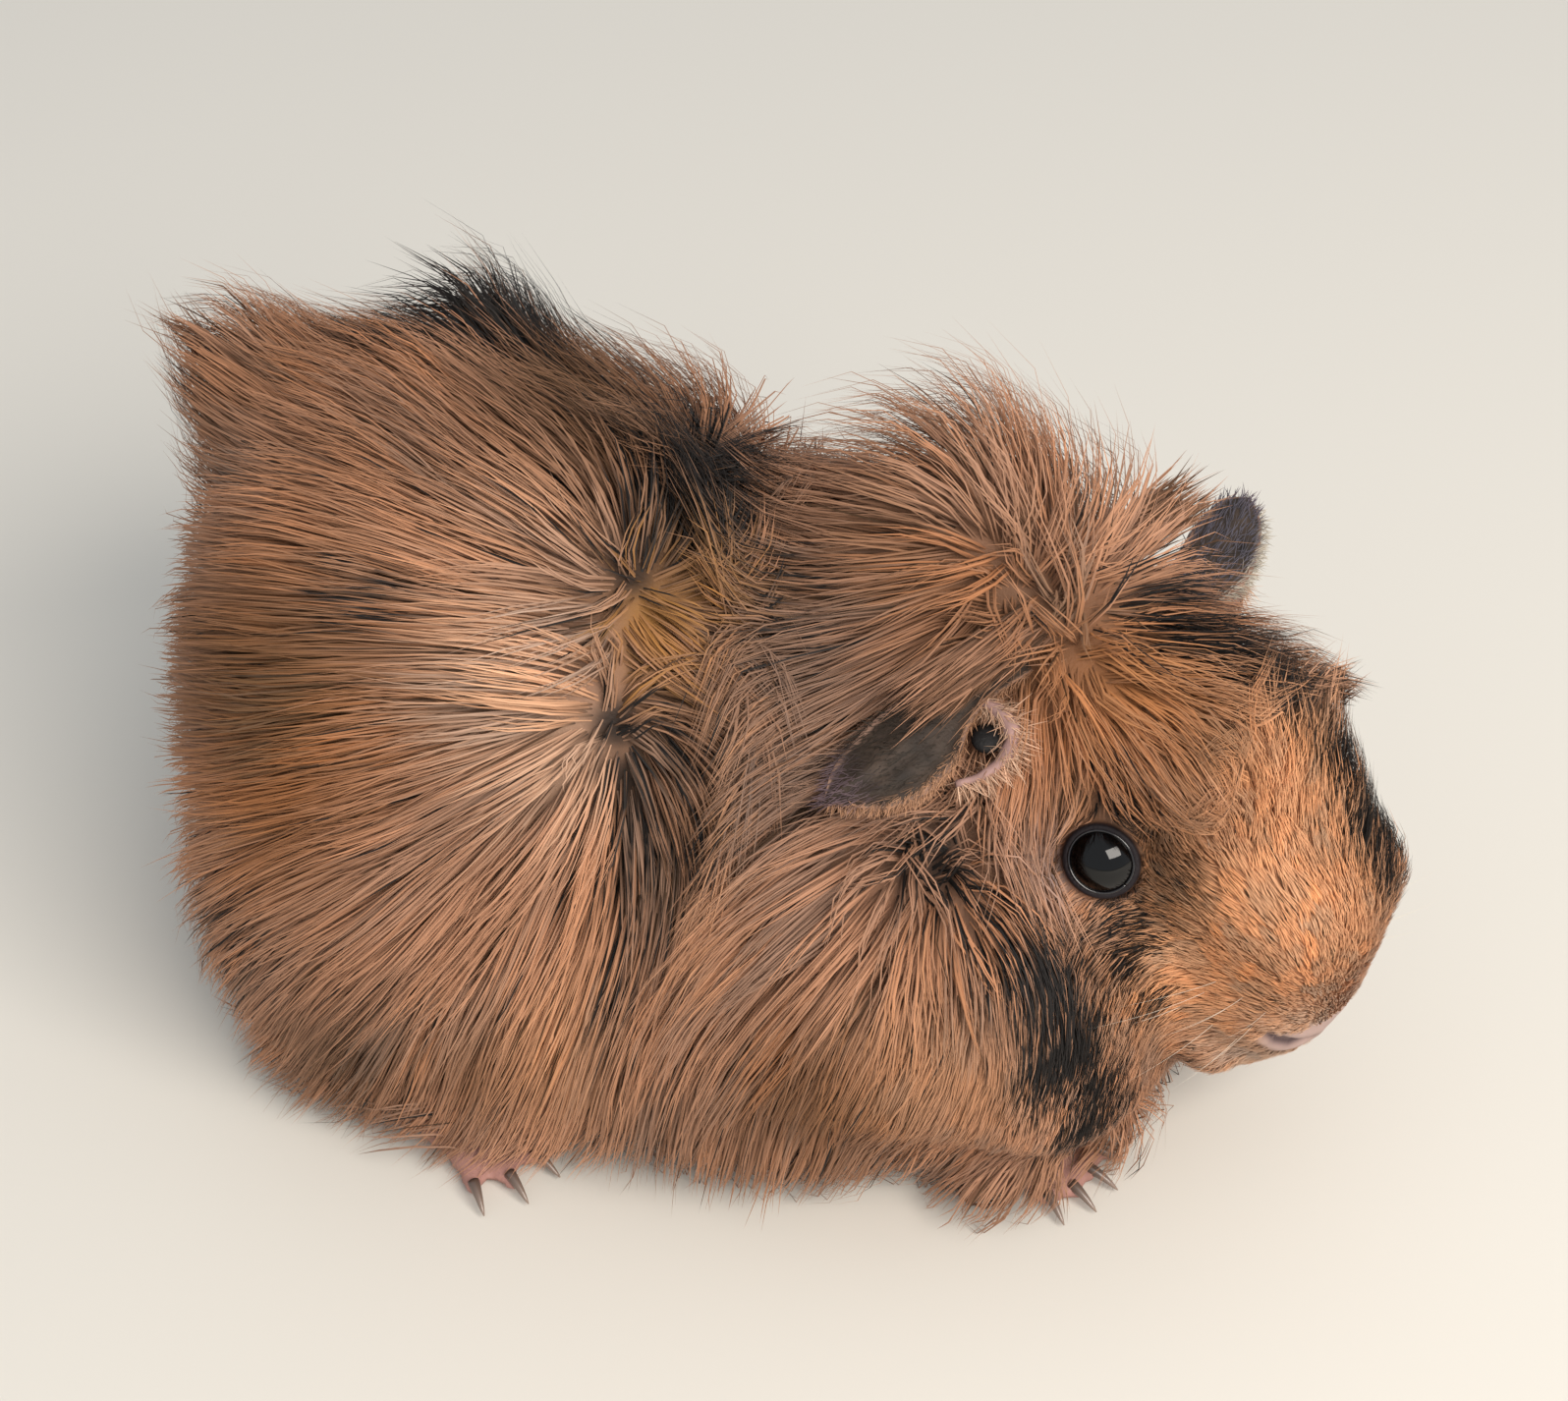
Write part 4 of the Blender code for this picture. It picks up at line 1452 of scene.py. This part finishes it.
# --- Ears --------------------------------------------------------------------------------
# An ear's root and tip on the head, then its front and back rims: along it and toward the nose.
EAR_FORMS = {
    "ear_right": {
        "root": (-22, -15, 5),
        "tip": (-27.5, -40.5, -3),
        "front": ((-3, -1.5), (3, -1.0), (7.5, 0.6), (11, 3.4), (16, 4.8), (21, 3.9), (27, -0.4)),
        "back": ((-3, -5), (3, -5.6), (8, -6.2), (12, -6.3), (17, -5.8), (23.5, -3.6), (27, -0.6)),
        "bulge": 1.9,
        "droop": 1.6,
        "fur": "#2b2219",
        "fringe": "#a67c5e",
    },
    "ear_left": {
        "root": (-22, 15, 5),
        "tip": (-24, 38.5, 1),
        "front": ((-5, 6.5), (3, 7.9), (8, 8.5), (12, 8.2), (17, 7.0), (22, 4.6), (24.6, 1.7)),
        "back": ((-5, 1.0), (3, 0.2), (8, -0.6), (12, -1.0), (17, -1.0), (21, -0.4), (24.4, 1.4)),
        "bulge": 1.2,
        "droop": 0.8,
        "fur": "#4b474f",
        "fringe": "#aaa090",
    },
}
# The fleshy roll in front of the ear's opening: along, toward the nose, up and its radius.
EAR_ROLL = (
    (5.5, -3.2, 0.2, 0.5),
    (4.2, -0.8, 0.5, 0.7),
    (3.2, 1.8, 0.4, 1.0),
    (3.6, 4.2, -0.2, 1.05),
    (5.8, 5.6, -0.8, 0.8),
    (8.8, 6.1, -1.2, 0.6),
    (12.4, 5.4, -1.0, 0.4),
)
EAR_OPENING = (6.2, 2.6, -0.6)
EAR_THICKNESS = 0.8


def ear_axes(form):
    """An ear's axes on the head: out to its tip, toward the nose, and up."""
    out = unit(np.array(form["tip"], float) - form["root"])
    ahead = unit(np.cross((0, 0, 1), out))
    ahead = ahead * np.sign(ahead[0])
    up = np.cross(out, ahead)
    return np.array([out, ahead, up * np.sign(up[2])])


def from_ear(form, points):
    return from_head(np.asarray(points, float) @ ear_axes(form) + form["root"])


def to_ear(form, points):
    return (to_head(points) - form["root"]) @ ear_axes(form).T


def across_leaf(form, places):
    """0 at an ear's back rim and 1 at its front rim."""
    back, front = (np.array(form[rim], float) for rim in ("back", "front"))
    low, high = (np.interp(places[:, 0], rim[:, 0], rim[:, 1]) for rim in (back, front))
    return np.clip((places[:, 1] - low) / np.maximum(high - low, 0.5), 0, 1)


def smooth_line(line, count):
    """Points spaced evenly along a smooth line through these."""
    line = np.array(line, float)
    ends = np.vstack([2 * line[0] - line[1], line, 2 * line[-1] - line[-2]])
    spots = np.linspace(0, len(line) - 1 - 1e-6, count)
    low = spots.astype(int)
    t = (spots - low)[:, None]
    a, b, c, d = (ends[low + step] for step in range(4))
    bend, twist = 2 * a - 5 * b + 4 * c - d, 3 * b - a - 3 * c + d
    return 0.5 * (2 * b + (c - a) * t + bend * t**2 + twist * t**3)


def leaf_faces(rows, columns):
    """The faces of a closed shell of two sheets of points, the upper one first."""
    count = rows * columns
    faces = []
    for row in range(rows - 1):
        for column in range(columns - 1):
            a = row * columns + column
            b, c, d = a + 1, a + columns + 1, a + columns
            faces += [(a, b, c, d), (a + count, d + count, c + count, b + count)]
    rim = [*range(columns)]
    rim += [row * columns + columns - 1 for row in range(1, rows)]
    rim += [(rows - 1) * columns + column for column in range(columns - 2, -1, -1)]
    rim += [row * columns for row in range(rows - 2, 0, -1)]
    faces += [(b, a, a + count, b + count) for a, b in zip(rim, rim[1:] + rim[:1])]
    return faces


LEAF_ROWS = 46  # points of an ear's leaf, along it and across it
LEAF_COLUMNS = 25


def ear_leaf(form):
    """A thin cupped leaf between the ear's rims: points, faces and how near the rim each is."""
    front, back = (smooth_line(form[rim], LEAF_ROWS)[:, None] for rim in ("front", "back"))
    along = np.linspace(0, 1, LEAF_ROWS)[:, None]
    across = np.linspace(-1, 1, LEAF_COLUMNS)[None]
    inside = 1 - across**2
    share = ((across + 1) / 2)[..., None]
    flat = back * (1 - share) + front * share
    cup = form["bulge"] * inside * np.sin(math.pi * (0.12 + 0.85 * along)) ** 0.8
    edge = 0.35 * np.exp(-(((1 - np.abs(across)) / 0.10) ** 2))
    rise = cup - form["droop"] * along**2 + edge
    rise = rise + 0.16 * np.sin(9 * across + 5 * along) * inside
    thick = EAR_THICKNESS * (0.45 + 0.55 * inside) * (1 - 0.35 * along)
    heights = (rise + thick / 2, rise - thick / 2)
    sheets = [np.concatenate([flat, height[..., None]], -1) for height in heights]
    shell = np.vstack([sheet.reshape(-1, 3) for sheet in sheets])
    near_rim = np.abs(np.tile(np.broadcast_to(across, (LEAF_ROWS, LEAF_COLUMNS)).ravel(), 2))
    return from_ear(form, shell), leaf_faces(LEAF_ROWS, LEAF_COLUMNS), near_rim


def tube(line, radii, sides):
    """A closed tapered tube along a line."""
    line, radii = np.asarray(line, float), np.asarray(radii, float)
    run = unit(np.gradient(line, axis=0))
    side = unit(np.cross(run, (0.3, 0.2, 0.93)))[:, None]
    top = np.cross(side[:, 0], run)[:, None]
    turn = (np.arange(sides) * 2 * math.pi / sides)[None, :, None]
    around = np.cos(turn) * side + np.sin(turn) * top
    points = (line[:, None] + around * radii[:, None, None]).reshape(-1, 3)
    faces = []
    for ring in range(len(line) - 1):
        for j in range(sides):
            a, b = ring * sides + j, ring * sides + (j + 1) % sides
            faces.append((a, a + sides, b + sides, b))
    faces.append(tuple(range(sides)))
    faces.append(tuple(reversed(range((len(line) - 1) * sides, len(line) * sides))))
    return points, faces


def ball(centre, radii, axes, columns=20, rows=12):
    """A closed round form with these radii along these axes."""
    points, faces = [], []
    for row in range(1, rows):
        tilt = math.pi * row / rows
        for column in range(columns):
            turn = 2 * math.pi * column / columns
            out = math.sin(tilt)
            points.append((out * math.cos(turn), out * math.sin(turn), math.cos(tilt)))
    points += [(0, 0, 1), (0, 0, -1)]
    for row in range(rows - 2):
        for column in range(columns):
            a, b = row * columns + column, row * columns + (column + 1) % columns
            faces.append((a, a + columns, b + columns, b))
    top, bottom, last = len(points) - 2, len(points) - 1, (rows - 2) * columns
    for column in range(columns):
        faces.append((top, column, (column + 1) % columns))
        faces.append((bottom, last + (column + 1) % columns, last + column))
    return np.array(centre) + (np.array(points) * radii) @ np.asarray(axes), faces


def joined(pieces):
    """Several (points, faces, colours) as one."""
    points, faces, colours, count = [], [], [], 0
    for some_points, some_faces, some_colours in pieces:
        points.append(some_points)
        faces += [tuple(corner + count for corner in face) for face in some_faces]
        colours.append(np.broadcast_to(some_colours, (len(some_points), 3)))
        count += len(some_points)
    return np.vstack(points), faces, np.vstack(colours)


def far_ear(form):
    return form["tip"][1] > 0


def ear_roll(form):
    """The roll of skin round an ear's opening: points, faces and colours."""
    count = 34
    roll = smooth_line(EAR_ROLL, count)
    if far_ear(form):
        roll[:, :3] = roll[:, :3] * (1, 0.8, 1) + (0, 4.0, -0.6)
    lumpy = 1 + 0.1 * np.sin(np.arange(count))
    points, faces = tube(roll[:, :3], roll[:, 3] * lumpy, 14)
    points = from_ear(form, points)
    tone = (1 + 0.12 * ripple(points, 3, 32))[:, None]
    return points, faces, EAR_PINK * tone


def ear_pieces():
    """The leaf, the roll and, in the opening of each ear, a black ball of painted shade."""
    for form in EAR_FORMS.values():
        points, faces, near_rim = ear_leaf(form)
        tone = (1 + 0.22 * ripple(points, 5, 31))[:, None]
        yield points, faces, mixed(EAR_DARK, EAR_RIM, step(0.80, 0.97, near_rim)) * tone
        yield ear_roll(form)
        # A black ball in the ear's opening: painted shade in the hole.
        shift = (0, 3.0, -0.6) if far_ear(form) else (0, 0, 0)
        opening = from_ear(form, np.add(EAR_OPENING, shift))
        points, faces = ball(opening, (1.9, 1.9, 0.7), head_way(ear_axes(form)))
        yield points, faces, EAR_HOLE_SHADE


# --- Hair of the ears --------------------------------------------------------------------
def triangles_from(faces):
    """Faces of any length as triangles."""
    fans = [(face, j) for face in faces for j in range(1, len(face) - 1)]
    return np.array([(face[0], face[j], face[j + 1]) for face, j in fans])


def hairs_on_leaf(form, random):
    """Short dark fur over an ear, with a fringe along its front rim."""

    def fringe(places):
        return step(0.84, 0.97, across_leaf(form, to_ear(form, places)))

    out, ahead, _ = head_way(ear_axes(form))
    points, faces, _ = ear_leaf(form)
    triangles = triangles_from(faces)
    roots, normals = scattered(points, triangles, lambda spots: 1 + 3 * fringe(spots), 1900, random)
    edge = fringe(roots)[:, None]
    way = out + ahead * (1.1 * edge - 0.15) + (0.25 + 0.3 * edge) * random.normal(size=roots.shape)
    length = random.uniform(1.6, 2.8, (len(roots), 1)) * (1 - 0.3 * edge)
    tip = 0.35 * step(19, 25, to_ear(form, roots)[:, 0])
    colour = mixed(mixed(linear(form["fur"]), MAUVE, tip), linear(form["fringe"]), edge)
    return roots, normals, way, length, colour, 0.30


def hairs_on_roll(form, random):
    """Pale and golden hairs round an ear's opening."""
    out, ahead, up = head_way(ear_axes(form))
    points, faces, _ = ear_roll(form)
    triangles = triangles_from(faces)
    roots, normals = scattered(points, triangles, lambda spots: np.ones(len(spots)), 900, random)
    way = ahead * 0.5 - up * 0.6 - out * 0.2 + 0.5 * normals
    way = way + 0.35 * random.normal(size=roots.shape)
    length = random.uniform(1.2, 3.4, (len(roots), 1))
    golden = random.uniform(0, 1, (len(roots), 1))
    return roots, normals, way, length, mixed(CREAM, FAWN, golden), 0.25


def hairs_over_leaf(form, random):
    """Long hair of the mane that falls over the back of an ear."""
    out, ahead, up = head_way(ear_axes(form))
    count = 260
    spots = random.uniform((-7, -8.5, 2.2), (2, -3.0, 3.4), (count, 3))
    way = out + ahead * 0.14 + 0.07 * random.normal(size=(count, 3))
    length = random.uniform(10, 17, (count, 1))
    pale = random.uniform(0, 1, (count, 1))
    normals = np.repeat(up[None], count, 0)
    return from_ear(form, spots), normals, way, length, mixed(BROWN, FAWN, pale), 0.10


def grow_ear_fur():
    """All hair of the ears as one piece: it rises from the skin and bends back to it."""
    random = np.random.default_rng(43)
    kinds = (hairs_on_leaf, hairs_on_roll, hairs_over_leaf)
    made = [growing(form, random) for form in EAR_FORMS.values() for growing in kinds]
    part = np.linspace(0, 1, 4)[None, :, None]
    rings, tops, colours, widths = [], [], [], []
    for roots, normals, way, length, colour, lift in made:
        long, normal = length[:, None], normals[:, None]
        rise = lift * long * part * (1 - 0.55 * part)
        stray = 0.05 * long * part**2 * random.normal(size=(len(roots), 1, 3))
        ring = roots[:, None] + unit(way)[:, None] * long * part + stray
        rings.append(ring + normal * (rise - 0.15 * (1 - part)))
        tops.append(np.repeat(normal, 4, 1))
        # Each hair varies in tone at random, and is darker toward its root: painted shade at the
        # roots.
        tone = np.exp(0.16 * random.normal(size=(len(roots), 1, 1))) * (0.8 + 0.3 * part)
        colours.append(colour[:, None] * tone)
        widths.append(0.10 + 0.010 * length[:, 0])
    rings, tops, colours = np.vstack(rings), np.vstack(tops), np.vstack(colours)
    patch = unwrapped(rings[:, 0], tops[:, 0])
    mesh = tuft_mesh("ear_fur", rings, tops, np.concatenate(widths), colours, patch)
    finished("ear_fur", mesh, hair_material("ear_fur", 0.03), "coat")


# --- Eyes, claws and whiskers ------------------------------------------------------------
def finished_from(name, pieces, material, slot):
    """Several (points, faces, colours) as one finished piece."""
    finished(name, mesh_from(name, *joined(pieces)), material, slot)


def make_eye(name):
    """A whole eyeball, whose cornea bulges a little over a dark iris."""
    points, faces = ball((0, 0, 0), (1, 1, 1), np.identity(3), 64, 48)
    angle = np.arccos(np.clip(points[:, 2], -1, 1))
    bulge = 1 + 0.045 * step(1.0, 0.3, angle)[:, None]
    turn = np.arctan2(points[:, 1], points[:, 0])
    streak = 0.5 + 0.25 * np.sin(23 * turn) + 0.25 * np.sin(41 * turn + 1)
    iris = step(0.52, 0.62, angle) * step(1.05, 0.95, angle)
    colours = mixed(EYE_BLACK, EYE_BROWN * (0.6 + 0.6 * streak[:, None]), iris)
    outward = (points * (EYE_RADIUS - 0.05) * bulge) @ eye_axes(EYES[name])
    mesh = mesh_from(name + "_ball", eye_centre(name) + outward, faces, colours)
    finished(name + "_ball", mesh, cornea_material(), "eye", name)


def make_lids():
    """The wet margins of the lids, round each eye."""
    pieces = []
    for name, side in EYES.items():
        long, wide, look = eye_axes(side)
        line = []
        for turn in np.linspace(0, 2 * math.pi, 73):
            around = math.cos(turn) * long + math.sin(turn) * wide
            tilt = lid_turn(math.cos(turn)) * 0.985
            way = look * math.cos(tilt) + around * math.sin(tilt)
            line.append(eye_centre(name) + way * LID_RADIUS)
        pieces.append((*tube(line, np.full(len(line), LID_THICKNESS), 10), LID_MARGIN))
    finished_from("lid_margins", pieces, wet_lid_material(), "skin")


def toe_tips(name):
    """Where each toe ends, from the ball of its foot, and the way that it points."""
    kind = FOOT_PLACES[name][0]
    for angle in kind["toes"]:
        spread = math.radians(angle)
        ahead, aside = math.cos(spread), math.sin(spread)
        reach = kind["toe"] * (1.0 - 0.12 * abs(aside))
        tip = (reach * ahead + 1.6, reach * aside * 0.92 + 0.3 * kind["width"] * aside, 1.7)
        yield np.array(tip), unit(np.array((ahead, aside * 0.6, 0)))


CLAW_LENGTH = 4.4
CLAW_RADIUS = 0.78
CLAW_DROP = 1.75


def make_claws():
    """A curved claw on each toe, horn-coloured and paler at its tip."""
    rings = sides = 9
    part = np.linspace(0, 1, rings)[:, None]
    curve = np.array([0, 0, 1]) * (0.7 - CLAW_DROP * part**1.6)
    pieces = []
    for name in FEET:
        for tip, way in toe_tips(name):
            line = tip + way * (0.6 + CLAW_LENGTH * part) + curve
            line = [from_foot(name, spot) for spot in line]
            points, faces = tube(line, CLAW_RADIUS * (1.02 - part[:, 0]) ** 0.6, sides)
            points[:, 2] = np.maximum(points[:, 2], 0.05)
            colours = mixed(CLAW_HORN, CLAW_TIP, np.repeat(part, sides))
            pieces.append((points, faces, colours))
    finished_from("claws", pieces, horn_material(), "skin")


def whisker_roots(random):
    """Each whisker's root on the head, heading, length and radius."""
    for side, lead, radius in ((-1, 0.10, 0.035), (1, 0.75, 0.05)):
        for row in range(3):
            for place in range(3):
                root = (25.0 - 3.0 * place, side * (8.0 + 0.9 * place), -9.5 - 2.4 * row)
                way = (lead - 0.16 * place, side * 1.0, 0.34 - 0.30 * row)
                yield root, way, 15 + 2.0 * place + 2.0 * random.uniform(-1, 1), radius
        for place in range(2):
            root = (3 + 1.4 * place, side * (12.5 - place), 7.5)
            yield root, (0.2 + 0.3 * place, side * 0.7, 0.9), 9.0, 0.05


def make_whiskers():
    """Whiskers of the lip and brows, which sag and curve back."""
    random = np.random.default_rng(61)
    part = np.linspace(0, 1, 14)[:, None]
    pieces = []
    for root, way, length, radius in list(whisker_roots(random)):
        way = unit(np.array(way, float) + 0.08 * random.normal(size=3))
        sag = np.array([-0.30, 0, 0.12 * random.normal() - 0.10])
        line = np.array(root) - way * 1.5 + way * length * part + sag * length * part**2 * 0.55
        points, faces = tube(from_head(line), radius * (1.03 - part[:, 0] ** 1.3), 5)
        pieces.append((points, faces, WHISKER))
    finished_from("whiskers", pieces, whisker_material(), "coat")


def with_ears(mesh):
    """Joins the ears to the skin's mesh."""
    ears = mesh_from("ears", *joined(ear_pieces()))
    shape = bmesh.new()
    shape.from_mesh(mesh)
    shape.from_mesh(ears)
    shape.to_mesh(mesh)
    shape.free()
    bpy.data.meshes.remove(ears)
    mesh.shade_smooth()


# --- Making ------------------------------------------------------------------------------
make_camera()
make_studio()
make_floor()
skin_mesh, outer_coat = make_skin()
skin_points, skin_triangles = points_of(skin_mesh), triangles_of(skin_mesh)
paint(skin_mesh, skin_colours(skin_points, surface_tree(skin_points, skin_triangles)))
with_ears(skin_mesh)
flesh = (*TRUNK, *LEGS, *HEAD, *FEET, *EARS)
finished("skin", skin_mesh, skin_material(), "skin", *flesh)
grow_coat(skin_points, skin_triangles, outer_coat)
grow_ear_fur()
for eye in EYES:
    make_eye(eye)
make_lids()
make_claws()
make_whiskers()
boxes = [[list(map(float, corner)) for corner in box] for box in (CAD_BOX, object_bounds())]
